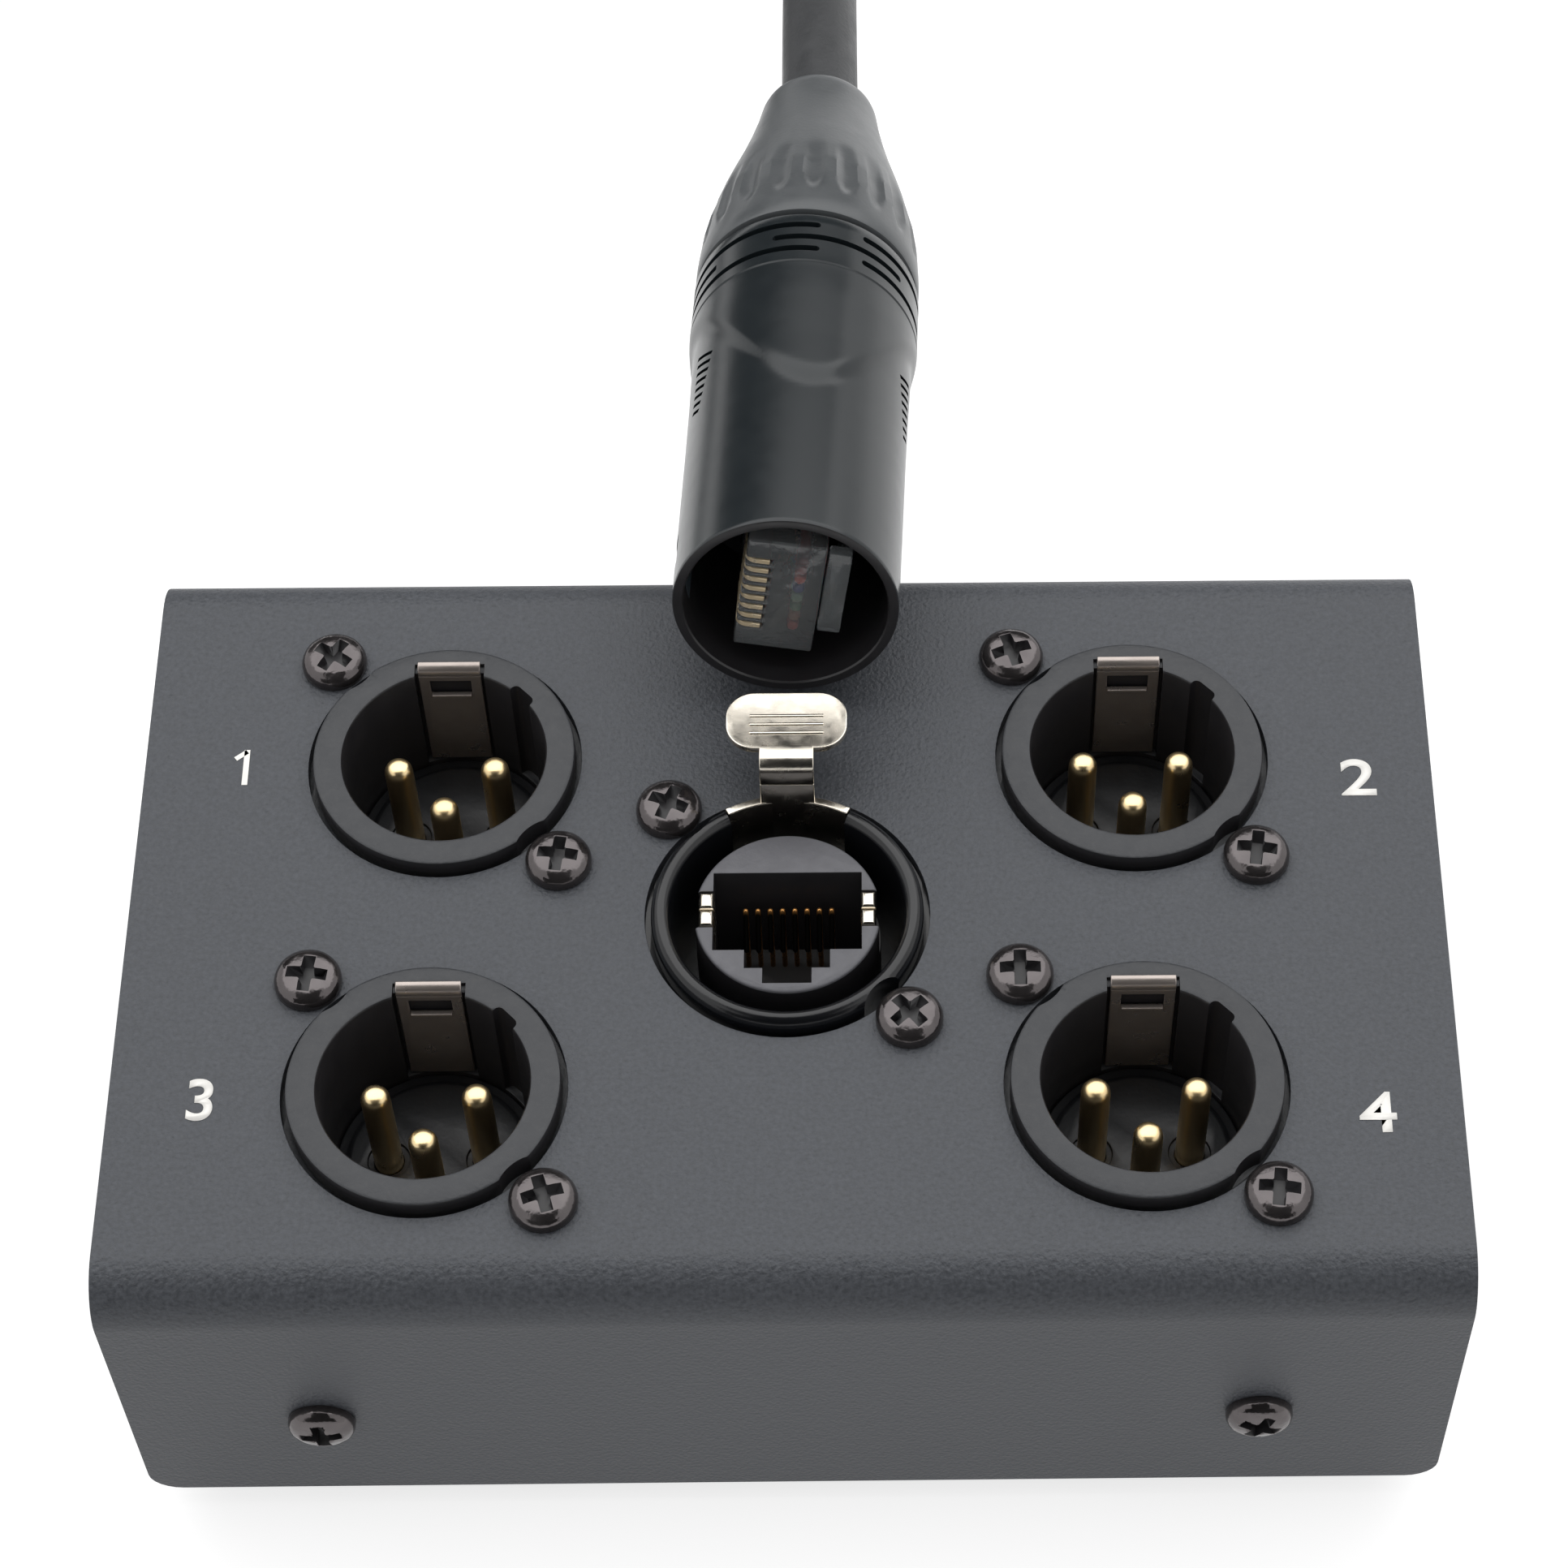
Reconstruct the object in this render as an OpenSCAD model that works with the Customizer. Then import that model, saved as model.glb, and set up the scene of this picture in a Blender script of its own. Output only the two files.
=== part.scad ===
/* [Case] */
// Width of the case
case_w = 108; // [104:0.5:130]
// Depth of the case, front to back
case_d = 71.5; // [70:0.5:90]
// Height of the folded cover, from its lower edge to its top face
cover_h = 33.6; // [31:0.2:45]
// Thickness of the case sheet
sheet_t = 1.2; // [0.8:0.1:2]
// Outside radius of the cover's two long bends
bend_r = 4.5; // [3:0.25:6]
// Radius of the lower corners of the cover's flanges
flange_corner_r = 2.6; // [1:0.2:5]
// Gap between the tray and the cover
fold_gap = 0.3; // [0.2:0.05:0.5]
// Height of the tray's front and back lips above its floor
lip_h = 17; // [16:0.5:19]

/* [Case screws and feet] */
// Height of the cover screws above the cover's lower edge
cover_screw_h = 13; // [12:0.5:14]
// Distance between the two cover screws of one flange
cover_screw_span = 76.4; // [60:0.2:84]
// Thread diameter of every screw
thread_d = 3; // [2.5:0.5:3]
// Diameter of a screw's pan head
head_d = 5.5; // [5:0.1:6]
// Height of a screw's pan head
head_h = 1.7; // [1.5:0.1:2.4]
// Diameter of a rivet nut's body
rivet_nut_d = 5; // [4.4:0.1:5.6]
// Length of a rivet nut behind its lip
rivet_nut_l = 4.5; // [3:0.5:6]
// Diameter of a rubber foot
foot_d = 10; // [9:0.5:14]
// Height of a rubber foot
foot_h = 3.4; // [3:0.2:8]
// Distance between the feet, left to right
foot_span_x = 77; // [60:1:80]
// Distance between the feet, front to back
foot_span_y = 52; // [40:1:54]

/* [Audio sockets] */
// Distance of the audio sockets' axes from the ends of the case
socket_inset_x = 25.15; // [20:0.05:26]
// Distance of the back audio sockets' axes from the case's back
back_inset = 20.8; // [19:0.05:22]
// Distance of the front audio sockets' axes from the case's front
front_inset = 18.9; // [17:0.05:20]
// Outside diameter of an audio socket's ring
ring_d = 21.9; // [21:0.1:22.4]
// Height of every socket's rim above the panel
ring_rise = 1.2; // [1:0.1:2.5]
// Diameter of an audio socket's bore
bore_d = 17; // [16:0.1:17.4]
// Depth of the contact insert's face below the panel's top face
insert_depth = 11.4; // [10:0.2:13]
// Thickness of the contact insert
insert_t = 5.6; // [4:0.2:7]
// Diameter of a contact pin
pin_d = 2.4; // [2.2:0.1:2.6]
// Radius of the circle that the contact pins stand on
pin_circle_r = 4.05; // [3.8:0.05:4.3]
// Depth of the pin tips below the panel's top face
pin_tip_depth = 0.5; // [0:0.1:3]
// Length of a solder cup behind the insert
cup_l = 4.4; // [3:0.2:6]
// Width of the ground strip at the back of the bore
strip_w = 5.6; // [4:0.2:6]
// Thickness of the ground strip
strip_t = 0.4; // [0.3:0.05:0.5]

/* [Socket flanges] */
// Side of the square flange behind the panel
flange_w = 27; // [26.5:0.1:28]
// Thickness of the flange
flange_t = 2.6; // [2:0.1:3]
// Distance from a socket's axis to its screws, left or right
screw_dx = 9.92; // [9.8:0.02:10.2]
// Distance from a socket's axis to its screws, front or back
screw_dy = 10.2; // [9.9:0.02:10.3]
// Gap between a socket's rim and the edge of its cut-out
cutout_gap = 0.5; // [0.3:0.05:0.7]
// Radius of the scallop that clears a screw head in a socket's rim
scallop_r = 3.45; // [3.2:0.05:3.6]

/* [Data socket] */
// Outside diameter of the data socket's rim
rim_d = 22.4; // [22:0.1:22.8]
// Diameter of the bore that takes the plug's shell
data_bore_d = 19.3; // [19.1:0.05:19.6]
// Depth of that bore below the panel's top face
data_bore_depth = 12.5; // [12:0.1:14]
// Thickness of the data socket's floor
data_floor_t = 2; // [1.5:0.1:3]
// Diameter of the round jack insert
jack_d = 15.3; // [15:0.05:15.6]
// Height of the jack insert's face above the panel
jack_rise = 0.3; // [0:0.1:1]
// Width of the jack opening
jack_open_w = 12.2; // [11.9:0.05:12.4]
// Height of the jack opening, without its latch steps
jack_open_h = 7.45; // [6.8:0.05:7.5]
// Depth of the jack opening
jack_open_depth = 12; // [10:0.5:12]
// How far the data socket's axis lies behind the middle of the audio sockets
data_shift = 0.5; // [-1:0.1:1]
// Distance between two neighbouring contacts
contact_pitch = 1.02; // [0.95:0.01:1.1]
// Travel of the release tab
tab_travel = 1.8; // [1:0.1:1.8]
// Height of the tab's pad above the panel
tab_rise = 6.8; // [6:0.1:10]
// Thickness of the release tab's sheet
tab_t = 0.7; // [0.5:0.05:0.8]
// Width of the tab's pad
pad_w = 10; // [8:0.1:12]
// Length of the tab's pad, from the neck outwards
pad_l = 5.6; // [4:0.1:8]
// Width of the tab's neck
neck_w = 4.5; // [3.5:0.1:5.5]
// Width across the tab's shoulders
shoulder_w = 9.8; // [8.5:0.1:10.2]

/* [Circuit board] */
// Width of the circuit board
board_w = 30; // [28:0.5:32]
// Depth of the circuit board, front to back
board_d = 26; // [24:0.5:30]
// Thickness of the circuit board
board_t = 1.6; // [1:0.1:2]
// Diameter of an insulated wire
wire_d = 1.2; // [0.9:0.1:1.4]

/* [Lead and plug] */
// Outside diameter of the plug's shell at its mouth
shell_d = 18.8; // [18.4:0.1:19]
// Wall of the plug's shell
shell_wall = 1.2; // [0.9:0.1:1.4]
// Outside diameter of the plug's grip
grip_d = 20; // [19.6:0.1:21]
// Length of the plug's shell
shell_l = 40.6; // [38:0.2:46]
// Length of the plug's fluted bushing
bushing_l = 29; // [27:0.5:32]
// Diameter of the cable
cable_d = 7.2; // [6:0.1:8]
// Diameter of the bushing's end
bushing_end_d = 10.2; // [9.4:0.1:11]
// Depth of the clear plug's nose behind the shell's mouth
nose_depth = 1.2; // [1:0.1:3]
// How far the plug's mouth reaches in over the panel from where it touches the back bend
plug_reach = 12; // [8:0.5:13]
// Tilt of the plug, mouth up
plug_tilt = 11; // [9:0.5:12]
// Turn of the plug seen from above
plug_turn = 2; // [0:0.2:4]

/* [Hidden] */

$fn = 64;
eps = 0.01;
touch = 0.05;          // radial gap of a seated round piece
hole_clear = 0.15;     // radial gap of a screw in its hole
nut_clear = 0.3;       // gap around a nut
through = 200;         // length of a cut that goes right through

// Levels
panel_z = foot_h + cover_h;
floor_z = foot_h + sheet_t;
under_panel = -sheet_t;                       // from here on, socket levels count from the panel's top face
under_flange = under_panel - flange_t;
board_z = -data_bore_depth - data_floor_t - 3.4;

// Socket centres on the panel, numbered as printed
back_y = case_d / 2 - back_inset;
front_y = front_inset - case_d / 2;
socket_xy = [for (i = [0:3])
    [(i % 2 == 0 ? -1 : 1) * (case_w / 2 - socket_inset_x), i < 2 ? back_y : front_y]];
data_y = (back_y + front_y) / 2 + data_shift;
audio_hole_d = ring_d + 2 * cutout_gap;
data_hole_d = rim_d + 2 * cutout_gap;
screw_hole_d = thread_d + 2 * hole_clear;
screw_at = [[-screw_dx, screw_dy], [screw_dx, -screw_dy]];
nut_d = 2.1 * thread_d;                       // across a nut's corners
nut_h = 0.8 * thread_d;

// Pins of a three-pin male socket
pin_at = [[-pin_circle_r, 0.1], [pin_circle_r, 0.1], [0, 0.1 - pin_circle_r]];

// Data socket
jack_front_y = 3.9;                           // back edge of the jack opening from the socket's axis
step_w = [7, 4];                              // widths of the two latch steps
step_h = [1.75, 3.2];                         // how far each step reaches past the opening
tab_r = rim_d / 2 - 1;                        // inner radius of the tab's shoulders
tab_foot = -4.5;                              // lower edge of the tab's shoulders
shoulder_top = ring_rise + 0.2;
spring_x = 3.6;
spring_r = 1;
spring_wire_d = 0.35;
spring_l = 6;
spring_turns = 6;
spring_y = sqrt(pow(tab_r + 1.1, 2) - pow(spring_x, 2));
pawl_pin_r = 0.6;
pawl_hub_r = 1;
pawl_pin_y = tab_r + 0.9;
pawl_pin_z = pawl_hub_r + nut_clear - data_bore_depth;
pawl_w = 3.4;
pawl_nose_y = 8.95;
pawl_nose_z = -8.2;
pawl_top = -4.4;
wedge_low = [tab_r, -6.7];                    // lower end of the pawl's slanted face, where the tab ends its stroke
run = 0.04;                                   // running clearance of the pawl on its pin
tower_w = 14;
tower_y = flange_w / 2;

// Plug placing: its shell rests on the round of the cover's back bend
rest_gap = 0.3;
bend_y = case_d / 2 - bend_r;
bend_z = panel_z - bend_r;
stand_off = shell_d / 2 + bend_r + rest_gap;
plug_y = bend_y + stand_off * sin(plug_tilt) - plug_reach * cos(plug_tilt);
plug_z = bend_z + stand_off * cos(plug_tilt) + plug_reach * sin(plug_tilt);
plug_l = shell_l + bushing_l;
plug_back = [sin(plug_turn) * cos(plug_tilt), cos(plug_turn) * cos(plug_tilt), -sin(plug_tilt)];
plug_exit = [0, plug_y, plug_z] + plug_l * plug_back;
latch_pivot_t = nose_depth + 1.2;
rj_w = 11.7;                                  // across the eight blades
rj_t = 6.6;
rj_l = 21;
rj_x = -3.8;                                  // blade face of the clear plug from the shell's axis
carrier_front = 14;

// Lead: the cable runs back from the plug, down to the surface and into a flat coil
coil_xy = [-40.7, 193.3];
coil_r = 36;                                  // middle of the turns
coil_columns = 3;
coil_layers = 2;
tie_t = 0.8;
far_x = -99.5;
far_y = 191.3;
far_z = grip_d / 2;
lead_points = [plug_exit, [2.25, 108, 32], [2.2, 120, 28.4], [2.2, 131, 23.4], [2.25, 141, 17.6], [2.3, 150, 12.4],
    [2.4, 158, 8.6], [2.45, 166, 5.9], [2.5, 173, 4.8], [2.5, 180, 4.4]];
far_points = [[-57.4, 236.4, 11.3], [-67.2, 234.7, 10.8], [-76, 231, 10.1], [-84.1, 225.2, 9.5],
    [-90.9, 217.6, 9.3], [-96, 208.2, 9.6], [-98.7, 199.4, 9.9], [far_x, far_y, far_z]];

// Helpers

function corner(cx, cy, r, a0, n = 6) =
    [for (i = [0:n]) [cx + r * cos(a0 + 90 * i / n), cy + r * sin(a0 + 90 * i / n)]];

function rounded_points(w, d, r) = concat(
    corner(w / 2 - r, d / 2 - r, r, 0), corner(r - w / 2, d / 2 - r, r, 90),
    corner(r - w / 2, r - d / 2, r, 180), corner(w / 2 - r, r - d / 2, r, 270));

function unit(v) = v / norm(v);

function tangent(p, i) = unit(p[min(i + 1, len(p) - 1)] - p[max(i - 1, 0)]);

// Ring of a swept tube, squared up to the path; "side" is a direction that the path never runs along
function sweep_ring(c, t, r, sides, side) =
    let (u = unit(cross(side, t)), v = cross(t, u))
    [for (k = [0:sides - 1]) c + r * cos(360 * k / sides) * u + r * sin(360 * k / sides) * v];

module sweep(points, d, sides = 10, side = [0, 0, 1]) {
    n = len(points);
    verts = [for (i = [0:n - 1]) each sweep_ring(points[i], tangent(points, i), d / 2, sides, side)];
    walls = [for (i = [0:n - 2], k = [0:sides - 1])
        let (a = i * sides + k, b = i * sides + (k + 1) % sides)
        each [[b, a, a + sides], [b, a + sides, b + sides]]];
    polyhedron(points = verts, convexity = 6,
        faces = concat(walls, [[for (k = [0:sides - 1]) k]], [[for (k = [sides - 1:-1:0]) (n - 1) * sides + k]]));
}

// Cubic curve between two points, leaving and arriving along given offsets
function bend_path(a, da, db, b, n = 9) = [for (i = [0:n])
    let (t = i / n, s = 1 - t) s * s * s * a + 3 * s * s * t * (a + da) + 3 * s * t * t * (b + db) + t * t * t * b];

module at_socket(i) translate([socket_xy[i].x, socket_xy[i].y, panel_z]) children();

module at_data() translate([0, data_y, panel_z]) children();

// Plug frame: +Z runs from the mouth back along the plug, +X to the right, -Y up
module at_plug() translate([0, plug_y, plug_z]) rotate([-90 - plug_tilt, 0, -plug_turn]) children();

module at_far_plug() translate([far_x, far_y - plug_l, far_z]) rotate([-90, 0, 0]) children();

module tube(outer_d, inner_d, h) difference() {
    cylinder(d = outer_d, h = h);
    translate([0, 0, -1]) cylinder(d = inner_d, h = h + 2);
}

// Sector of a ring, centred on +Y
module arc_plate(r_in, r_out, width, z0, z1) {
    half = asin(width / 2 / ((r_in + r_out) / 2));
    translate([0, 0, z0]) rotate([0, 0, 90 - half])
        rotate_extrude(angle = 2 * half) translate([r_in, 0]) square([r_out - r_in, z1 - z0]);
}

// Pan-head screw, head up, seated on z = 0
module pan_screw(length) difference() {
    union() {
        rotate_extrude() polygon(concat([[0, 0], [head_d / 2, 0], [head_d / 2, head_h * 0.35]],
            [for (a = [15:15:75]) [head_d / 2 - head_h * 0.65 * (1 - cos(a)), head_h * (0.35 + 0.65 * sin(a))]],
            [[0, head_h]]));
        translate([0, 0, -length]) cylinder(d = thread_d, h = length + eps);
    }
    for (a = [45, 135]) rotate([0, 0, a]) translate([-head_d * 0.27, -head_d * 0.07, head_h * 0.35])
        cube([head_d * 0.54, head_d * 0.14, head_h]);
}

module hex_nut() difference() {
    cylinder(d = nut_d, h = nut_h, $fn = 6);
    translate([0, 0, -1]) cylinder(d = thread_d + 2 * touch, h = nut_h + 2, $fn = 32);
}

// Case

module flange_outline() {
    r = flange_corner_r;
    w = case_w / 2;
    polygon(concat([[w, cover_h], [-w, cover_h]], corner(r - w, r, r, 180), corner(w - r, r, r, 270)));
}

module cover_profile() {
    d = case_d / 2;
    translate([-d, 0]) square([sheet_t, cover_h - bend_r]);
    translate([d - sheet_t, 0]) square([sheet_t, cover_h - bend_r]);
    translate([bend_r - d, cover_h - sheet_t]) square([case_d - 2 * bend_r, sheet_t]);
    for (s = [-1, 1]) translate([s * (d - bend_r), cover_h - bend_r]) intersection() {
        difference() {
            circle(r = bend_r);
            circle(r = bend_r - sheet_t);
        }
        translate([s < 0 ? -bend_r : 0, 0]) square(bend_r);
    }
}

module top_cover() color("dimgray") difference() {
    intersection() {
        translate([-case_w / 2, 0, foot_h]) rotate([90, 0, 90]) linear_extrude(case_w) cover_profile();
        translate([0, case_d, foot_h]) rotate([90, 0, 0]) linear_extrude(2 * case_d) flange_outline();
    }
    for (i = [0:3]) at_socket(i) {
        translate([0, 0, -5]) cylinder(d = audio_hole_d, h = 10);
        for (p = screw_at) translate([p.x, p.y, -5]) cylinder(d = screw_hole_d, h = 10);
    }
    at_data() {
        translate([0, 0, -5]) cylinder(d = data_hole_d, h = 10);
        for (p = screw_at) translate([p.x, p.y, -5]) cylinder(d = screw_hole_d, h = 10);
    }
    for (x = [-1, 1]) translate([x * cover_screw_span / 2, case_d, foot_h + cover_screw_h])
        rotate([90, 0, 0]) cylinder(d = screw_hole_d, h = 2 * case_d);
}

lip_y = case_d / 2 - sheet_t - fold_gap;      // outer face of the tray's front and back lips
side_x = case_w / 2 - 0.6;                    // outer face of the tray's side walls
side_top = panel_z - sheet_t - fold_gap;
side_corner = bend_r - sheet_t + fold_gap;

module side_wall_outline() {
    h = side_top - foot_h;
    c = side_corner;
    polygon(concat([[-lip_y, 0], [lip_y, 0]], corner(lip_y - c, h - c, c, 0), corner(c - lip_y, h - c, c, 90)));
}

module bottom_tray() color("dimgray") difference() {
    union() {
        translate([-side_x, -lip_y, foot_h]) cube([2 * side_x, 2 * lip_y, sheet_t]);
        for (s = [-1, 1]) {
            translate([s > 0 ? side_x - sheet_t : -side_x, 0, foot_h]) rotate([90, 0, 90])
                linear_extrude(sheet_t) side_wall_outline();
            translate([-side_x + sheet_t + 1, s > 0 ? lip_y - sheet_t : -lip_y, foot_h])
                cube([2 * (side_x - sheet_t - 1), sheet_t, lip_h + sheet_t]);
        }
    }
    for (x = [-1, 1]) translate([x * cover_screw_span / 2, case_d, foot_h + cover_screw_h])
        rotate([90, 0, 0]) cylinder(d = rivet_nut_d + 2 * touch, h = 2 * case_d);
    for (x = [-1, 1], y = [-1, 1]) translate([x * foot_span_x / 2, y * foot_span_y / 2, 0])
        cylinder(d = screw_hole_d, h = 20);
}

cover_screw_l = 6;

module cover_screws() color("black") for (x = [-1, 1], y = [-1, 1])
    translate([x * cover_screw_span / 2, y * case_d / 2, foot_h + cover_screw_h])
        rotate([y > 0 ? -90 : 90, 0, 0]) pan_screw(cover_screw_l);

module rivet_nuts() color("silver") for (x = [-1, 1], y = [-1, 1])
    translate([x * cover_screw_span / 2, y * lip_y, foot_h + cover_screw_h])
        rotate([y > 0 ? 90 : -90, 0, 0]) difference() {
            union() {
                cylinder(d = rivet_nut_d, h = sheet_t + rivet_nut_l);
                translate([0, 0, sheet_t]) cylinder(d = rivet_nut_d + 2, h = 1);
            }
            translate([0, 0, -1]) cylinder(d = thread_d + 2 * touch, h = sheet_t + rivet_nut_l + 2);
        }

foot_recess = 1.2;
foot_screw_l = foot_h - foot_recess + sheet_t + 3;

module rubber_feet() color("black") for (x = [-1, 1], y = [-1, 1])
    translate([x * foot_span_x / 2, y * foot_span_y / 2, 0]) difference() {
        rotate_extrude() polygon([[0, foot_h], [foot_d / 2, foot_h], [foot_d / 2 - 0.4, 0.4],
            [foot_d / 2 - 0.8, 0], [0, 0]]);
        translate([0, 0, -1]) cylinder(d = screw_hole_d, h = foot_h + 2);
        translate([0, 0, -1]) cylinder(d = head_d + 0.8, h = 1 + foot_h - foot_recess);
    }

module foot_screws() color("silver") for (x = [-1, 1], y = [-1, 1])
    translate([x * foot_span_x / 2, y * foot_span_y / 2, foot_h - foot_recess]) rotate([180, 0, 0])
        pan_screw(foot_screw_l);

module foot_nuts() color("silver") for (x = [-1, 1], y = [-1, 1])
    translate([x * foot_span_x / 2, y * foot_span_y / 2, floor_z]) hex_nut();

// Audio sockets

key_angle = 44;
key_w = 2.4;
key_r = bore_d / 2 + 0.65;
strip_r = bore_d / 2 + 0.1;                   // outer face of the ground strip
shell_foot = -insert_depth - insert_t;

module flange_plate() translate([0, 0, under_flange]) linear_extrude(flange_t)
    polygon(rounded_points(flange_w, flange_w, 2.5));

module flange_cuts() for (p = screw_at) {
    translate([p.x, p.y, under_flange - 1]) cylinder(d = screw_hole_d, h = flange_t + 2);
    translate([p.x, p.y, under_panel]) cylinder(r = scallop_r, h = through);
    translate([p.x, p.y, under_flange - nut_h - nut_clear])
        cylinder(d = nut_d + 2 * nut_clear, h = nut_h + nut_clear);
}

module audio_shell() difference() {
    union() {
        flange_plate();
        translate([0, 0, under_panel - eps]) cylinder(d = ring_d, h = ring_rise + sheet_t + eps);
        translate([0, 0, shell_foot]) cylinder(d = ring_d - 1, h = under_flange - shell_foot + eps);
    }
    translate([0, 0, shell_foot - 1]) cylinder(d = bore_d, h = through);
    rotate([0, 0, key_angle]) translate([0, -key_w / 2, -insert_depth]) cube([key_r, key_w, through]);
    translate([0, 0, -insert_depth]) arc_plate(strip_r - strip_t - 0.6, strip_r + touch, strip_w + 0.3, 0, through);
    arc_plate(strip_r - 0.5, strip_r + 0.5, strip_w + 0.8, 0.6, 10);
    flange_cuts();
}

module audio_insert() difference() {
    translate([0, 0, shell_foot]) cylinder(d = bore_d - 2 * touch, h = insert_t);
    for (p = pin_at) translate([p.x, p.y, shell_foot - 1]) cylinder(d = pin_d + 2 * touch, h = insert_t + 2);
    for (a = [0, 90, 180, 270]) rotate([0, 0, a + 45]) translate([bore_d / 2 - 2.2, -0.6, -insert_depth - 0.8])
        cube([1.2, 1.2, 2]);
}

module audio_pins() for (p = pin_at) translate([p.x, p.y, 0]) {
    translate([0, 0, shell_foot]) cylinder(d = pin_d, h = -shell_foot - pin_tip_depth - pin_d / 2);
    translate([0, 0, -pin_tip_depth - pin_d / 2]) sphere(d = pin_d);
    translate([0, 0, shell_foot - cup_l]) difference() {
        cylinder(d = pin_d + 0.4, h = cup_l + eps);
        translate([0, 0, -1]) cylinder(d = wire_d + 0.3, h = cup_l - 1);
        translate([-pin_d, -pin_d, -1]) cube([2 * pin_d, pin_d, cup_l - 1]);
    }
}

module ground_strip() difference() {
    arc_plate(strip_r - strip_t, strip_r, strip_w, -insert_depth + 0.3, ring_rise - 0.1);
    translate([-1.8, 0, -1.9]) cube([3.6, bore_d, 2.2]);
}

module audio_socket_shell(i) color("dimgray") at_socket(i) audio_shell();
module audio_socket_insert(i) color("black") at_socket(i) audio_insert();
module audio_socket_pins(i) color("goldenrod") at_socket(i) audio_pins();
module audio_socket_ground_strip(i) color("gray") at_socket(i) ground_strip();

// A socket screw is long enough for the panel, the flange and the nut
socket_screw_l = sheet_t + flange_t + 3;

module audio_socket_screws() color("dimgray") for (i = [0:3]) at_socket(i)
    for (p = screw_at) translate([p.x, p.y, 0]) pan_screw(socket_screw_l);

module data_socket_screws() color("dimgray") at_data()
    for (p = screw_at) translate([p.x, p.y, 0]) pan_screw(socket_screw_l);

module socket_nuts() color("silver") {
    for (i = [0:3]) at_socket(i) for (p = screw_at) translate([p.x, p.y, under_flange - nut_h]) hex_nut();
    at_data() for (p = screw_at) translate([p.x, p.y, under_flange - nut_h]) hex_nut();
}

// Data socket

data_foot = -data_bore_depth - data_floor_t;

module rim_profile() {
    ro = rim_d / 2;
    ri = data_bore_d / 2;
    c = ro - 1;                               // centre of the rim's round
    polygon(concat([[ri - 1, under_panel], [ro, under_panel], [ro, ring_rise - 1]],
        [for (a = [18:18:90]) [c + cos(a), ring_rise - 1 + sin(a)]],
        [[ri, ring_rise - 0.7], [ri - 1, ring_rise - 1.6]]));
}

module data_socket_housing() color("black") at_data() difference() {
    union() {
        flange_plate();
        rotate_extrude() rim_profile();
        translate([0, 0, data_foot]) cylinder(d = rim_d, h = under_panel - data_foot);
        translate([-tower_w / 2, 8, data_foot]) cube([tower_w, tower_y - 8, under_panel - data_foot]);
    }
    translate([0, 0, -data_bore_depth]) cylinder(d = data_bore_d, h = through);
    translate([0, 0, data_foot - 1]) cylinder(d = jack_d - 3, h = 10);
    // Slot for the tab, open towards the bore
    arc_plate(9, tab_r + tab_t + 0.35, shoulder_w + 0.8, tab_foot - tab_travel - 0.5, 10);
    arc_plate(tab_r - 0.3, tab_r + 2.4, shoulder_w + 0.8, tab_foot - tab_travel - 0.5, under_flange);
    for (s = [-1, 1]) translate([s * spring_x, spring_y, tab_foot - spring_l])
        cylinder(r = spring_r + 0.4, h = spring_l + 1);
    // Pocket for the pawl and the hole for its pin
    translate([-pawl_w / 2 - 0.3, 8.5, -data_bore_depth - eps]) cube([pawl_w + 0.6, 8, 8.6]);
    translate([-tower_w, pawl_pin_y, pawl_pin_z]) rotate([0, 90, 0]) cylinder(r = pawl_pin_r, h = 2 * tower_w);
    flange_cuts();
}

module jack_opening(grow = 0) {
    y0 = jack_front_y - jack_open_h;
    translate([-jack_open_w / 2 - grow, y0 - grow]) square([jack_open_w + 2 * grow, jack_open_h + 2 * grow]);
    for (k = [0, 1]) translate([-step_w[k] / 2, y0 - step_h[k]]) square([step_w[k], step_h[k] + 1]);
}

module data_socket_jack() color("dimgray") at_data() difference() {
    union() {
        translate([0, 0, -data_bore_depth]) cylinder(d = jack_d, h = data_bore_depth + jack_rise);
        translate([0, 0, board_z + board_t]) cylinder(d = jack_d - 3 - 2 * touch, h = -data_bore_depth - board_z);
    }
    translate([0, 0, jack_rise - jack_open_depth]) linear_extrude(through) jack_opening();
    for (s = [-1, 1]) translate([s * (jack_open_w / 2 + 0.8), 0.7, 0]) cube([2, 4, 8], center = true);
    for (k = [0:7]) translate([(k - 3.5) * contact_pitch - 0.28, contact_y - 0.28, -through / 2])
        cube([0.56, 0.56, through]);
}

contact_d = 0.44;
contact_y = 2.4;

module rod(a, b, d) {
    v = b - a;
    translate(a) rotate([0, acos(v.z / norm(v)), atan2(v.y, v.x)]) cylinder(d = d, h = norm(v), $fn = 16);
}

// Each contact comes up through the insert's back, folds over into the opening and slopes down to its tip
module data_socket_contacts() color("gold") at_data() for (k = [0:7]) {
    x = (k - 3.5) * contact_pitch;
    top = [x, contact_y, -3.2];
    rod([x, contact_y, board_z - 1.2], top, contact_d);
    translate(top) sphere(d = contact_d, $fn = 16);
    rod(top, [x, 0.3, -6], contact_d);
    translate([x, 0.3, -6]) sphere(d = contact_d, $fn = 16);
}

module data_socket_shield_springs() color("silver") at_data() for (s = [-1, 1]) {
    x = s * (jack_open_w / 2 + 0.55);
    translate([x, 0.7, -1]) cube([0.9, 3.4, 3.2], center = true);
    translate([x - s * 0.3, 0.7, -3.2]) cube([0.3, 2.4, 1.4], center = true);
}

neck_y = tab_r + tab_t - 0.08;                // back face of the tab's neck
tab_bend_r = 1.2;

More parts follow.
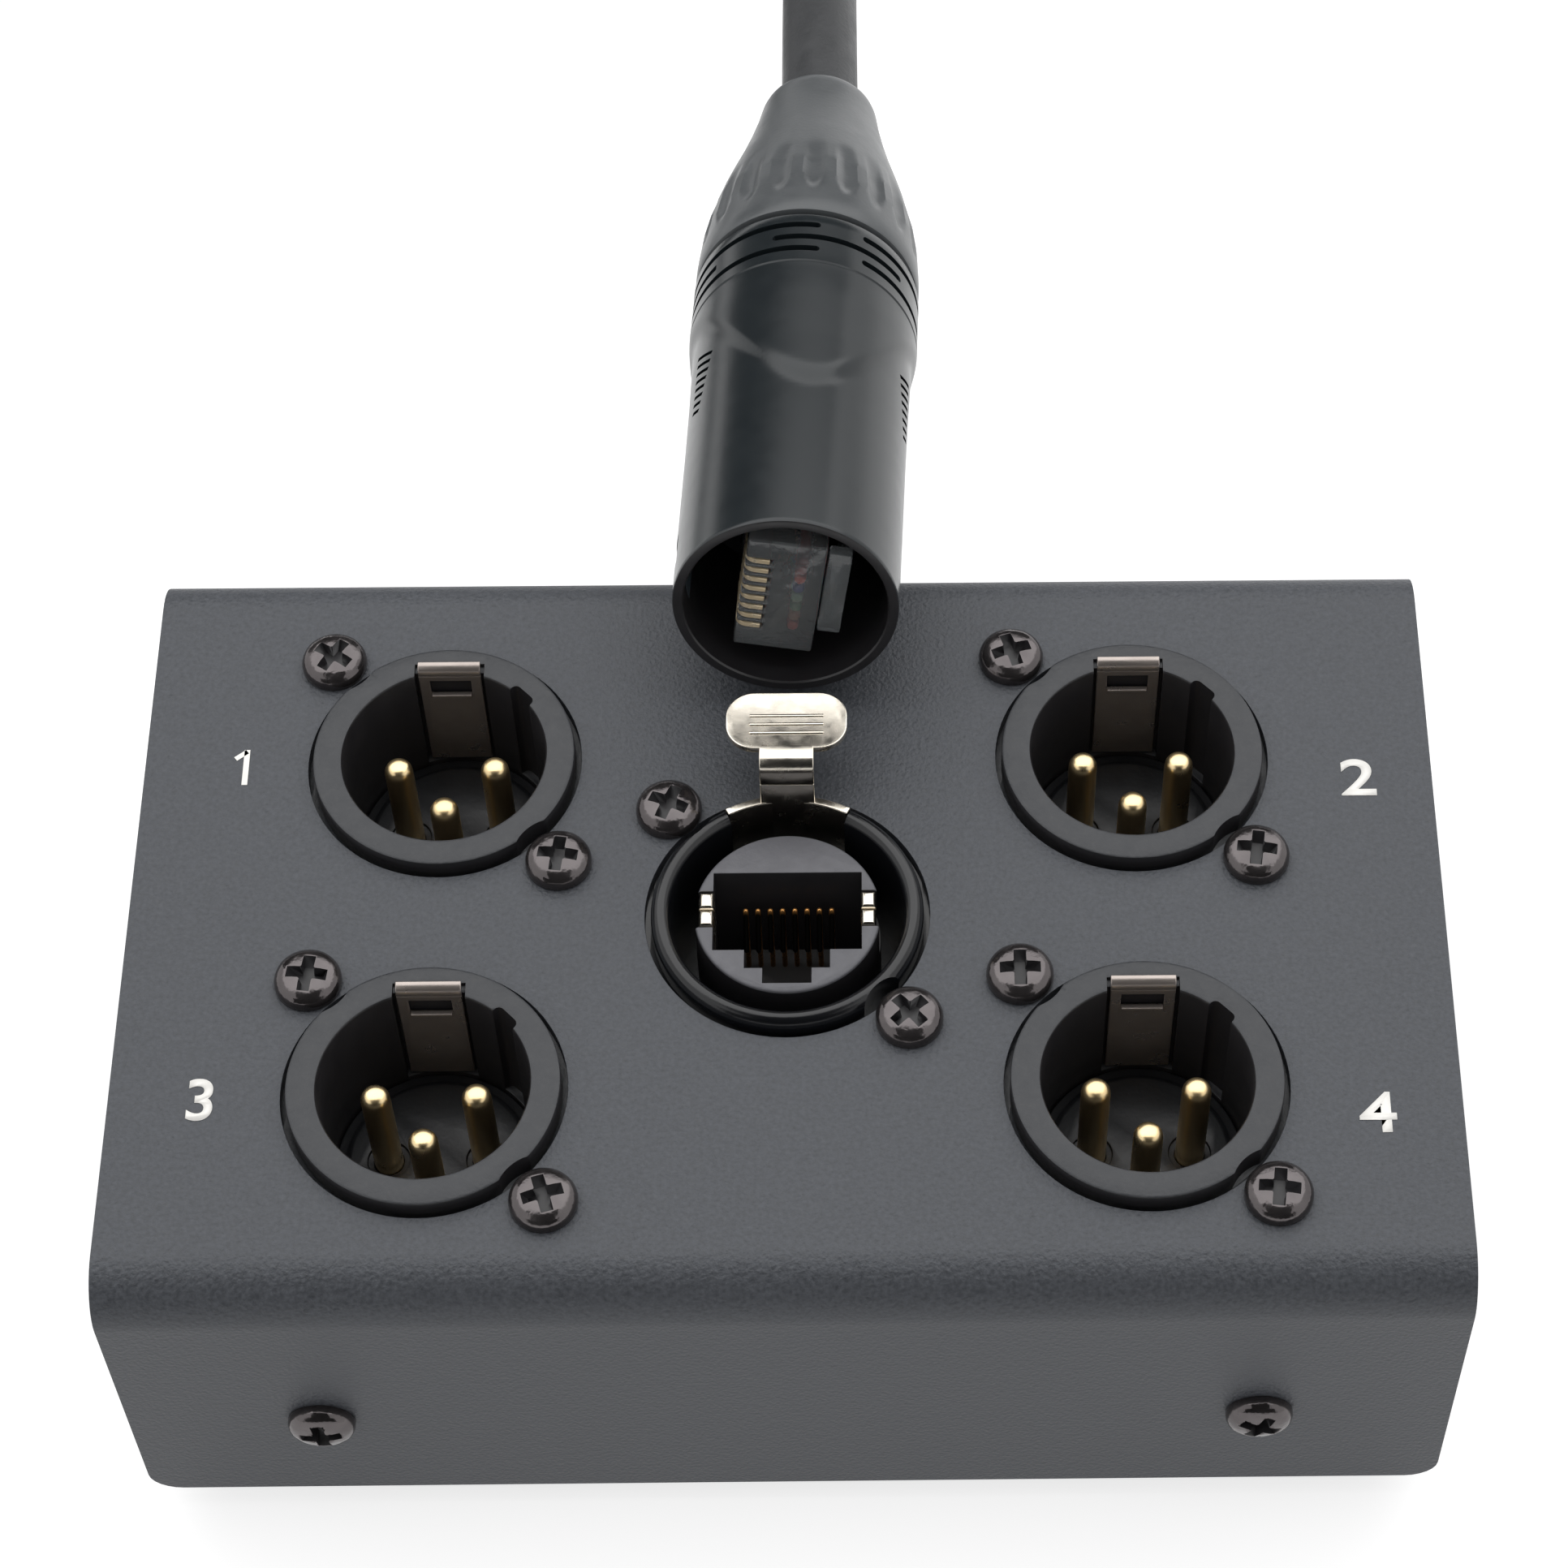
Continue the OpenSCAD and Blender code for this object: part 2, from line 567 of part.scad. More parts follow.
module tab_neck_profile() {
    top = tab_rise - tab_bend_r;
    translate([neck_y - tab_t, tab_foot - 0.4]) square([tab_t, top - tab_foot + 0.4]);
    translate([neck_y - tab_t + tab_bend_r, top]) intersection() {
        difference() {
            circle(r = tab_bend_r);
            circle(r = tab_bend_r - tab_t);
        }
        translate([-tab_bend_r, 0]) square(tab_bend_r);
    }
}

module pad_outline() translate([0, neck_y - tab_t + tab_bend_r]) {
    translate([-neck_w / 2, 0]) square([neck_w, 1.5]);
    translate([0, 0.6 + pad_l / 2]) polygon(rounded_points(pad_w, pad_l, pad_l * 0.42));
}

module release_tab() color("silver") at_data() {
    translate([-neck_w / 2, 0, 0]) rotate([90, 0, 90]) linear_extrude(neck_w) tab_neck_profile();
    translate([0, 0, tab_rise - tab_t]) linear_extrude(tab_t) pad_outline();
    arc_plate(tab_r, tab_r + tab_t, shoulder_w, tab_foot, shoulder_top);
    difference() {
        arc_plate(tab_r, tab_r + 2, shoulder_w, tab_foot, tab_foot + 0.6);
        translate([-pawl_w / 2 - 0.3, neck_y, tab_foot - 1]) cube([pawl_w + 0.6, 5, 3]);
    }
}

module tab_springs() color("silver") at_data() for (s = [-1, 1])
    translate([s * spring_x, spring_y, tab_foot - spring_l + spring_wire_d / 2 + touch])
        sweep([for (i = [0:12 * spring_turns]) let (a = 30 * i) [spring_r * cos(a), spring_r * sin(a),
            (spring_l - spring_wire_d - 2 * touch) * i / (12 * spring_turns)]], spring_wire_d, 6, [0, 0, 1]);

module latch_pawl() color("gray") at_data() translate([-pawl_w / 2, 0, 0]) rotate([90, 0, 90]) difference() {
    union() {
        translate([pawl_pin_y, pawl_pin_z, 0]) cylinder(r = pawl_hub_r, h = pawl_w);
        linear_extrude(pawl_w) polygon([[pawl_pin_y - 0.9, pawl_pin_z], [pawl_pin_y - 1.1, pawl_nose_z - 0.4],
            [pawl_nose_y, pawl_nose_z - 0.3], [pawl_nose_y, pawl_nose_z + 0.3], wedge_low - [0.2, 0.2],
            wedge_low, [tab_r + tab_t + 0.35, pawl_top], [tab_r + tab_t + 0.95, pawl_top],
            [pawl_pin_y + 0.9, pawl_pin_z]]);
    }
    translate([pawl_pin_y, pawl_pin_z, -1]) cylinder(r = pawl_pin_r + run, h = pawl_w + 2);
}

module pawl_pin() color("silver") at_data() translate([-tower_w / 2 + 1, pawl_pin_y, pawl_pin_z])
    rotate([0, 90, 0]) cylinder(r = pawl_pin_r, h = tower_w - 2);

// Circuit board and wiring

header_l = 8.6;
header_h = 4;
header_d = 3;
header_x = board_w / 2 - header_d / 2 - 0.6;
header_y = [for (i = [0:3]) (i < 2 ? 1 : -1) * (board_d / 2 - header_l / 2 - 1.2)];

module circuit_board() color("darkgreen") at_data() difference() {
    translate([0, 0, board_z]) linear_extrude(board_t) polygon(rounded_points(board_w, board_d, 1.5));
    for (k = [0:7]) translate([(k - 3.5) * contact_pitch, contact_y, board_z - 1])
        cylinder(d = contact_d + 2 * touch, h = board_t + 2, $fn = 16);
}

module wire_headers() color("ivory") at_data() for (i = [0:3])
    translate([(i % 2 == 0 ? -1 : 1) * header_x, header_y[i], board_z - header_h / 2])
        cube([header_d, header_l, header_h], center = true);

wire_colours = ["red", "white", "gray"];

// Order of the outer, the inner and the front pin's wires along the header, for back and front sockets
way_order = [[1, 2, 0], [2, 1, 0]];
wire_drop = [7, 4.5, 9];

// Three wires, each from a solder cup down and across to its way in the header
module socket_wires(i) {
    s = i % 2 == 0 ? -1 : 1;
    for (k = [0:2]) {
        pin = k == 2 ? pin_at[2] : pin_at[(s < 0 ? k : 1 - k)];
        cup = [socket_xy[i].x + pin.x, socket_xy[i].y + pin.y, panel_z + shell_foot - cup_l + 2];
        way = [s * (header_x + header_d / 2), data_y + header_y[i] + (way_order[i < 2 ? 0 : 1][k] - 1) * 2.6,
            panel_z + board_z - header_h * 0.6];
        color(wire_colours[k])
            sweep(bend_path(cup, [0, 0, -wire_drop[k]], [s * 6, 0, -4], way), wire_d, 8, [0.3, 1, 0]);
    }
}

// Plug on the lead

inner_d = shell_d - 2 * shell_wall;
grip_start = 24;
catch_t = 4.8;

module plug_shell_solid() difference() {
    rotate_extrude() polygon([[0, 0], [shell_d / 2 - 0.2, 0], [shell_d / 2, 0.2], [shell_d / 2, grip_start],
        [grip_d / 2 - 0.2, grip_start + 4], [grip_d / 2, grip_start + 10], [grip_d / 2, shell_l - 2],
        [grip_d / 2 - 0.2, shell_l], [0, shell_l]]);
    translate([0, 0, -1]) cylinder(d = inner_d, h = shell_l + 2);
    // Catch hole for the pawl's nose
    translate([-shell_d / 2, 0, catch_t]) cube([6, pawl_w + 0.8, 3.4], center = true);
}

module plug_carrier_solid(tilt = 8) difference() {
    translate([0, 0, carrier_front]) cylinder(d = inner_d - 2 * touch, h = shell_l - carrier_front);
    rotate([0, 0, tilt]) translate([rj_x - touch, -rj_w / 2 - touch, 0])
        cube([rj_t + 2.6, rj_w + 2 * touch, nose_depth + rj_l + touch]);
    translate([0, 0, nose_depth + rj_l - 1]) cylinder(d = cable_d + 2 * touch, h = through);
}

module plug_body_solid(tilt = 8) rotate([0, 0, tilt]) difference() {
    translate([rj_x, -rj_w / 2, nose_depth]) cube([rj_t, rj_w, rj_l]);
    for (k = [0:7]) translate([rj_x - 1, (k - 3.5) * contact_pitch - 0.2, nose_depth - 1]) cube([3, 0.4, 7]);
    for (k = [0:7]) translate([rj_x + 2.6, (k - 3.5) * contact_pitch, nose_depth + 2])
        cylinder(d = 0.94, h = rj_l, $fn = 16);
}

module plug_bushing_solid() difference() {
    rotate_extrude() polygon([[0, 0], [grip_d / 2 - 0.2, 0], [grip_d / 2 - 0.3, 4], [grip_d / 2 - 0.9, 9],
        [grip_d / 2 - 1.9, 13], [grip_d / 2 - 2.9, 17], [grip_d / 2 - 3.9, 21],
        [bushing_end_d / 2 + 0.2, 24.5], [bushing_end_d / 2, bushing_l - 2.2],
        [bushing_end_d / 2 - 0.5, bushing_l - 0.8], [bushing_end_d / 2 - 1.3, bushing_l], [0, bushing_l]]);
    translate([0, 0, -1]) cylinder(d = 12.4, h = 12);
    translate([0, 0, -1]) cylinder(d = cable_d + 2 * touch, h = through);
    for (a = [0:15:345]) rotate([0, 0, a]) translate([grip_d / 2 + 0.35, 0, 3.5]) rotate([0, -11, 0])
        cylinder(d = 1.3, h = 11, $fn = 12);
}

module plug_shell() color("dimgray") at_plug() plug_shell_solid();
module plug_carrier() color("black") at_plug() plug_carrier_solid();
module plug_body() color("lightcyan") at_plug() plug_body_solid();

module plug_blades() color("gold") at_plug() rotate([0, 0, 8]) for (k = [0:7])
    translate([rj_x + 0.15, (k - 3.5) * contact_pitch - 0.16, nose_depth + 0.6]) cube([1.8, 0.32, 4.6]);

conductor_colours = ["orange", "darkorange", "green", "blue", "royalblue", "limegreen", "brown", "sienna"];

module plug_conductors() at_plug() rotate([0, 0, 8]) for (k = [0:7]) color(conductor_colours[k])
    translate([rj_x + 2.6, (k - 3.5) * contact_pitch, nose_depth + 2.2]) cylinder(d = 0.84, h = rj_l - 3.2, $fn = 16);

module plug_latch() color("lightcyan") at_plug() rotate([0, 0, 8]) translate([0, 3.1, 0]) rotate([90, 0, 0])
    linear_extrude(6.2) polygon([[rj_x + rj_t + 0.1, nose_depth + 0.4], [rj_x + rj_t + 0.9, nose_depth + 0.4],
        [rj_x + rj_t + 2.2, nose_depth + 8.4], [rj_x + rj_t + 1.4, nose_depth + 8.4]]);

module plug_clamp() color("black") at_plug() translate([0, 0, shell_l]) tube(12, cable_d + 2 * touch, 10.5);

module plug_bushing() color("dimgray") at_plug() translate([0, 0, shell_l]) plug_bushing_solid();

module plug_cable_end() color("black") at_plug() translate([0, 0, nose_depth + rj_l + 0.4])
    cylinder(d = cable_d, h = plug_l - nose_depth - rj_l - 0.4);

// Lead

module lead_cable() color("black") sweep(lead_points, cable_d, 12);

module lead_coil() color("black") translate([coil_xy.x, coil_xy.y, tie_t]) rotate_extrude()
    translate([coil_r - coil_columns * cable_d / 2, 0]) square([coil_columns * cable_d, coil_layers * cable_d]);

tie_w = 12;

module lead_tie() color("black") translate([coil_xy.x - coil_r, coil_xy.y, tie_t]) {
    w = coil_columns * cable_d + 0.6;
    h = coil_layers * cable_d + 0.3;
    difference() {
        translate([-w / 2 - tie_t, -tie_w / 2, -tie_t]) cube([w + 2 * tie_t, tie_w, h + 2 * tie_t]);
        translate([-w / 2, -tie_w, 0]) cube([w, 2 * tie_w, h]);
    }
}

module lead_cable_far() color("black") sweep(far_points, cable_d, 12);

module far_plug_shell() color("dimgray") at_far_plug() plug_shell_solid();
module far_plug_carrier() color("black") at_far_plug() plug_carrier_solid();
module far_plug_body() color("lightcyan") at_far_plug() plug_body_solid();
module far_plug_bushing() color("dimgray") at_far_plug() translate([0, 0, shell_l]) plug_bushing_solid();

top_cover();
bottom_tray();
cover_screws();
rivet_nuts();
rubber_feet();
foot_screws();
foot_nuts();
audio_socket_shell(0);  // audio_socket_1_shell
audio_socket_insert(0);  // audio_socket_1_insert
audio_socket_pins(0);  // audio_socket_1_pins
audio_socket_ground_strip(0);  // audio_socket_1_ground_strip
audio_socket_shell(1);  // audio_socket_2_shell
audio_socket_insert(1);  // audio_socket_2_insert
audio_socket_pins(1);  // audio_socket_2_pins
audio_socket_ground_strip(1);  // audio_socket_2_ground_strip
audio_socket_shell(2);  // audio_socket_3_shell
audio_socket_insert(2);  // audio_socket_3_insert
audio_socket_pins(2);  // audio_socket_3_pins
audio_socket_ground_strip(2);  // audio_socket_3_ground_strip
audio_socket_shell(3);  // audio_socket_4_shell
audio_socket_insert(3);  // audio_socket_4_insert
audio_socket_pins(3);  // audio_socket_4_pins
audio_socket_ground_strip(3);  // audio_socket_4_ground_strip
audio_socket_screws();
data_socket_screws();
socket_nuts();
data_socket_housing();
data_socket_jack();
data_socket_contacts();
data_socket_shield_springs();
release_tab();
tab_springs();
latch_pawl();
pawl_pin();
circuit_board();
wire_headers();
socket_wires(0);  // socket_1_wires
socket_wires(1);  // socket_2_wires
socket_wires(2);  // socket_3_wires
socket_wires(3);  // socket_4_wires
plug_shell();
plug_carrier();
plug_body();
plug_blades();
plug_conductors();
plug_latch();
plug_clamp();
plug_bushing();
plug_cable_end();
lead_cable();
lead_coil();
lead_tie();
lead_cable_far();
far_plug_shell();
far_plug_carrier();
far_plug_body();
far_plug_bushing();
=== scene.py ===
import math

import bmesh
import bpy
from mathutils import Matrix, Vector


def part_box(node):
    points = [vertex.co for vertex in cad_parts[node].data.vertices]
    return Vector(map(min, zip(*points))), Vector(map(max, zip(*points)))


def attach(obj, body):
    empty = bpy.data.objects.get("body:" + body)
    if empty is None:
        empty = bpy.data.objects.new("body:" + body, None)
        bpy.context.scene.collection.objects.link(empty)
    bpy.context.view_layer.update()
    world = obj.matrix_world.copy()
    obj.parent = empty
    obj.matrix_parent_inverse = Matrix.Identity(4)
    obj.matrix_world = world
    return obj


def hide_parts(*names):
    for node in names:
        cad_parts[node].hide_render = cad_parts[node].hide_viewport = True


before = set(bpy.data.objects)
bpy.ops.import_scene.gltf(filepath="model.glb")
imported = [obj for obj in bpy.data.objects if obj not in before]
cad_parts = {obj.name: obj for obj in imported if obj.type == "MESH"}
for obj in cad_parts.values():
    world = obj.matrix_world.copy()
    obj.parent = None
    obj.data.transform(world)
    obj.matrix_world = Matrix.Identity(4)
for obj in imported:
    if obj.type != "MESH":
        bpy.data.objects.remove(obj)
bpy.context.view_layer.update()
mm = 0.001

# Bench: the box stands on a white table in a white room, under one large soft lamp that hangs
# behind it. The room is dark behind the camera. A long lens on a stand looks down at the box.
def shift(x, y, z):
    """A move by so many millimetres."""
    return Matrix.Translation(Vector((x, y, z)) * mm)


def swing(axis, degrees):
    """A turn about an axis."""
    return Matrix.Rotation(math.radians(degrees), 4, axis)


def put_in(name, data):
    """A new object in the scene."""
    made = bpy.data.objects.new(name, data)
    bpy.context.collection.objects.link(made)
    return made


lens_stand = shift(8.7, -177.9, 315.6)
looks_down = 57.2
camera = put_in("camera", bpy.data.cameras.new("camera"))
camera.matrix_world = lens_stand @ swing("Z", -1.113) @ swing("X", 90 - looks_down) @ swing("Z", 0.444)
camera.data.lens = 92.41
camera.data.sensor_width = 36
camera.data.shift_x = -0.0967
camera.data.shift_y = 0.0689
camera.data.clip_start = 0.01
camera.data.clip_end = 20
bpy.context.scene.camera = camera
bpy.context.scene.view_settings.view_transform = "Standard"


def node(tree, kind, values=None, **settings):
    """A new shader node with its settings, and with values for its inlets."""
    made = tree.nodes.new("ShaderNode" + kind)
    for name, setting in settings.items():
        setattr(made, name, setting)
    for inlet, value in (values or {}).items():
        made.inputs[inlet].default_value = value
    return made


def feed(source, outlet, target, inlet):
    """Links a node's outlet to an inlet of another node in the same tree."""
    source.id_data.links.new(source.outputs[outlet], target.inputs[inlet])


def plain_nodes(owner, kind):
    """The node tree of a material or world, emptied but for its output."""
    owner.use_nodes = True
    tree = owner.node_tree
    tree.nodes.clear()
    return tree, node(tree, kind)


def seen_rays(tree):
    """1 for a ray that shows the surroundings: straight, in a gloss or through glass."""
    path = node(tree, "LightPath")
    straight_or_gloss = node(tree, "Math", operation="MAXIMUM")
    seen = node(tree, "Math", operation="MAXIMUM")
    feed(path, "Is Camera Ray", straight_or_gloss, 0)
    feed(path, "Is Glossy Ray", straight_or_gloss, 1)
    feed(straight_or_gloss, 0, seen, 0)
    feed(path, "Is Transmission Ray", seen, 1)
    return seen


room = bpy.data.worlds.new("white_room")
bpy.context.scene.world = room
room_tree, room_out = plain_nodes(room, "OutputWorld")
room_light = node(room_tree, "Background", {"Color": (1, 1, 1, 1), "Strength": 0.62})
room_white = node(room_tree, "Background", {"Color": (1, 1, 1, 1)})
room_mix = node(room_tree, "MixShader")
feed(seen_rays(room_tree), 0, room_mix, 0)
feed(room_light, 0, room_mix, 1)
feed(room_white, 0, room_mix, 2)
feed(room_mix, 0, room_out, 0)

lamp_place = Vector((0.0, 0.62, 1.05))
lamp = put_in("soft_lamp", bpy.data.lights.new("soft_lamp", "AREA"))
lamp.data.shape = "RECTANGLE"
lamp.data.size = 2.4
lamp.data.size_y = 1.8
lamp.data.energy = 16.5
lamp.location = lamp_place
lamp.rotation_euler = lamp_place.to_track_quat("Z", "Y").to_euler()

bpy.ops.mesh.primitive_plane_add(size=8, location=(0, 0, -0.00005))
table = bpy.context.object
table.name = "table"
table_paint = bpy.data.materials.new("table_white")
table_tree, table_out = plain_nodes(table_paint, "OutputMaterial")
table_matt = node(table_tree, "BsdfDiffuse", {"Color": (0.5, 0.5, 0.5, 1)})
table_white = node(table_tree, "Emission")
table_level = node(table_tree, "Math", {1: 0.7}, operation="MULTIPLY")
table_sum = node(table_tree, "AddShader")
feed(seen_rays(table_tree), 0, table_level, 0)
feed(table_level, 0, table_white, "Strength")
feed(table_matt, 0, table_sum, 0)
feed(table_white, 0, table_sum, 1)
feed(table_sum, 0, table_out, 0)
table.data.materials.append(table_paint)

dark_paint = bpy.data.materials.new("dark_wall")
dark_tree, dark_out = plain_nodes(dark_paint, "OutputMaterial")
feed(node(dark_tree, "BsdfDiffuse", {"Color": (0.02, 0.02, 0.02, 1)}), 0, dark_out, 0)
for wall_name, wall_place, wall_size in (
    ("dark_wall_high", Vector((0.02, -0.55, 0.95)), (1.1, 1.1, 1)),
    ("dark_wall_low", Vector((0, -1.1, 0.5)), (2.2, 0.8, 1)),
    ("dark_wall_back", Vector((-0.2, 1.3, 0.4)), (1.9, 0.95, 1)),
):
    bpy.ops.mesh.primitive_plane_add(size=1, location=wall_place)
    dark_wall = bpy.context.object
    dark_wall.name = wall_name
    dark_wall.scale = wall_size
    dark_wall.rotation_euler = wall_place.to_track_quat("Z", "Y").to_euler()
    dark_wall.data.materials.append(dark_paint)
    dark_wall.visible_camera = dark_wall.visible_shadow = dark_wall.visible_diffuse = False

# Lead: a flexible cable with a matt black jacket, 7.2 mm thick, moulded over twisted pairs. It leaves the
# plug's bushing, comes down to the table and is wound into a flat coil of two layers for storage.
cable_width = 7.2 * mm
coil_middle = Vector((-40.7, 193.3, 0)) * mm
turn_radii = [43.2 * mm, 36 * mm, 28.8 * mm]
layer_heights = [4.4 * mm, 11.6 * mm]
plug_length = 69.6
plug_slope = 11
plug_place = shift(0, 22.18, 48.729) @ swing("Z", -2) @ swing("X", -90 - plug_slope)
plug_exit = plug_place @ Vector((0, 0, plug_length * mm))


def step_up(value, start, end):
    """Goes smoothly from 0 to 1 between start and end."""
    share = min(max((value - start) / (end - start), 0), 1)
    return share * share * (3 - 2 * share)


def eased(first, last, angle, window):
    """A value that goes smoothly from first to last while the winding angle crosses the window."""
    return first + (last - first) * step_up(angle, *window)


def winding(turns):
    """Where the cable lies after so many turns: inwards below, then a climb, then outwards on top."""
    whole = int(turns)
    angle = (turns - whole) * 360
    if whole < 2:
        radius = eased(turn_radii[whole], turn_radii[whole + 1], angle, (240, 300))
    elif whole == 2:
        radius = turn_radii[2]
    elif whole < 5:
        radius = eased(turn_radii[5 - whole], turn_radii[4 - whole], angle, (120, 180))
    else:
        radius = turn_radii[0]
    height = eased(layer_heights[0], layer_heights[1], turns, (2.5, 2.67))
    around = math.radians(angle)
    return coil_middle + Vector((radius * math.cos(around), radius * math.sin(around), height))


way_down = [(2.25, 108, 32), (2.2, 120, 28.4), (2.2, 131, 23.4), (2.25, 141, 17.6), (2.3, 150, 12.4)]
way_down += [(2.4, 158, 8.6), (2.45, 166, 5.9), (2.5, 173, 4.8), (2.5, 180, 4.4)]
way_out = [(-49.5, 236.5, 11.5), (-57.4, 236.4, 11.3), (-67.2, 234.7, 10.8), (-76, 231, 10.1)]
way_out += [(-84.1, 225.2, 9.5), (-90.9, 217.6, 9.3), (-96, 208.2, 9.6), (-98.7, 199.4, 9.9)]
way_out += [(-99.5, 191.3, 10)]
knots_a_turn = 16
route = [plug_exit]
route += [Vector(spot) * mm for spot in way_down]
route += [winding(step / knots_a_turn) for step in range(5 * knots_a_turn + 5)]
route += [Vector(spot) * mm for spot in way_out]


def card(red, green, blue):
    """A colour as on a colour card, from 0 to 255, in the values that a shader takes."""
    levels = []
    for part in (red, green, blue):
        share = part / 255
        levels.append(share / 12.92 if share <= 0.04045 else ((share + 0.055) / 1.055) ** 2.4)
    return (*levels, 1)


def new_group(name, inlets, outlets):
    """An empty node group with its named inlets and outlets, and the two nodes that hold them."""
    group = bpy.data.node_groups.new(name, "ShaderNodeTree")
    for way, words in (("INPUT", inlets), ("OUTPUT", outlets)):
        for word in words:
            group.interface.new_socket(word, in_out=way, socket_type="NodeSocketFloat")
    return group, group.nodes.new("NodeGroupInput"), group.nodes.new("NodeGroupOutput")


# Fine grain and broader patches, in the piece's own space
mottle, mottle_in, mottle_out = new_group(
    "mottled_grain", ["Grains per metre", "Patches per metre"], ["Grain", "Patch"]
)
mottle_place = node(mottle, "TexCoord")
for rate, result, detail in (("Grains per metre", "Grain", 3), ("Patches per metre", "Patch", 4)):
    cloud = node(mottle, "TexNoise", {"Detail": detail})
    feed(mottle_place, "Object", cloud, "Vector")
    feed(mottle_in, rate, cloud, "Scale")
    feed(cloud, 0, mottle_out, result)

# Dust that has settled on what faces up: a mask, thicker in patches
dust, dust_in, dust_out = new_group("settled_dust", ["Amount"], ["Mask"])
dust_specks = node(dust, "TexNoise", {"Scale": 2400, "Detail": 5})
dust_up = node(dust, "SeparateXYZ")
dust_thin = node(dust, "MapRange", {"From Min": 0.5, "From Max": 0.8})
dust_flat = node(dust, "Math", operation="MULTIPLY", use_clamp=True)
dust_share = node(dust, "Math", operation="MULTIPLY")
feed(node(dust, "TexCoord"), "Object", dust_specks, "Vector")
feed(dust_specks, 0, dust_thin, "Value")
feed(node(dust, "NewGeometry"), "Normal", dust_up, 0)
feed(dust_up, "Z", dust_flat, 0)
feed(dust_thin, 0, dust_flat, 1)
feed(dust_flat, 0, dust_share, 0)
feed(dust_in, "Amount", dust_share, 1)
feed(dust_share, 0, dust_out, "Mask")


def new_finish(name, colour, patch_colour, rough, grains, depth, metal=0, patches=60, dusty=0, gloss=0.5):
    """A finish: a colour with patches of another, roughness from and to, grains per metre and their
    depth in millimetres."""
    made = bpy.data.materials.new(name)
    tree, out = plain_nodes(made, "OutputMaterial")
    shader = node(tree, "BsdfPrincipled", {"Metallic": metal, "Specular IOR Level": gloss})
    rates = {"Grains per metre": grains, "Patches per metre": patches}
    grain = node(tree, "Group", rates, node_tree=mottle)
    shown = node(tree, "Mix", {"A": colour, "B": patch_colour}, data_type="RGBA")
    feed(grain, "Patch", shown, "Factor")
    if dusty:
        layer = node(tree, "Group", {"Amount": dusty}, node_tree=dust)
        over = node(tree, "Mix", {"B": card(176, 172, 166)}, data_type="RGBA")
        feed(layer, "Mask", over, "Factor")
        feed(shown, "Result", over, "A")
        shown = over
    spread = node(tree, "MapRange", {"From Min": 0.3, "From Max": 0.7})
    spread.inputs["To Min"].default_value, spread.inputs["To Max"].default_value = rough
    relief = node(tree, "Bump", {"Distance": depth * mm})
    feed(shown, "Result", shader, "Base Color")
    feed(grain, "Patch", spread, "Value")
    feed(spread, 0, shader, "Roughness")
    feed(grain, "Grain", relief, "Height")
    feed(relief, 0, shader, "Normal")
    feed(shader, 0, out, 0)
    return made


cable_jacket = new_finish(
    "cable_jacket", card(38, 40, 42), card(60, 61, 63), (0.42, 0.55), 2600, 0.05, patches=420
)
cable_line = bpy.data.curves.new("cable", "CURVE")
cable_line.dimensions = "3D"
cable_line.bevel_depth = cable_width / 2
cable_line.bevel_resolution = 7
cable_line.resolution_u = 6
cable_spline = cable_line.splines.new("BEZIER")
cable_spline.bezier_points.add(len(route) - 1)
for knot, place in zip(cable_spline.bezier_points, route):
    knot.co = place
    knot.handle_left_type = knot.handle_right_type = "AUTO"
cable_line.materials.append(cable_jacket)
cable = put_in("cable", cable_line)
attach(cable, "lead")
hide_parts("lead_cable", "lead_coil", "lead_cable_far")


def only(piece, *others):
    """Selects these pieces and nothing else, with the first of them active."""
    bpy.ops.object.select_all(action="DESELECT")
    for part in (piece, *others):
        part.select_set(True)
    bpy.context.view_layer.objects.active = piece


def in_place(piece, place=Matrix.Identity(4)):
    """Puts a piece in its place and writes that place into its mesh."""
    only(piece)
    piece.matrix_world = place @ piece.matrix_world
    bpy.ops.object.transform_apply(location=True, rotation=True, scale=True)
    return piece


def bar(name, low, high):
    """A block between two corners, in millimetres."""
    low, high = Vector(low) * mm, Vector(high) * mm
    bpy.ops.mesh.primitive_cube_add(size=1, location=(low + high) / 2)
    piece = bpy.context.object
    piece.name = name
    piece.scale = high - low
    bpy.context.view_layer.update()
    return in_place(piece)


def take_up(piece):
    """Edit mode on one piece alone, with nothing in it selected."""
    only(piece)
    bpy.ops.object.mode_set(mode="EDIT")
    bpy.ops.mesh.select_all(action="DESELECT")


def choose(piece, kind, rule):
    """Selects the piece's verts, edges or faces whose middle, in millimetres, the rule holds for."""
    bpy.ops.mesh.select_mode(type={"verts": "VERT", "edges": "EDGE", "faces": "FACE"}[kind])
    bpy.ops.mesh.select_all(action="DESELECT")
    shape = bmesh.from_edit_mesh(piece.data)
    for part in getattr(shape, kind):
        if kind == "verts":
            middle = part.co
        else:
            middle = sum((corner.co for corner in part.verts), Vector()) / len(part.verts)
        part.select_set(bool(rule(middle / mm, part)))
    shape.select_flush_mode()
    bmesh.update_edit_mesh(piece.data)


def put_down():
    """Ends edit mode."""
    bpy.ops.object.mode_set(mode="OBJECT")


def open_up(piece, rule):
    """Takes away the piece's faces that the rule holds for."""
    take_up(piece)
    choose(piece, "faces", rule)
    bpy.ops.mesh.delete(type="FACE")
    put_down()


def round_edges(piece, width, segments, rule):
    """Rounds the piece's edges that the rule holds for."""
    take_up(piece)
    choose(piece, "edges", rule)
    bpy.ops.mesh.bevel(offset=width * mm, segments=segments)
    put_down()


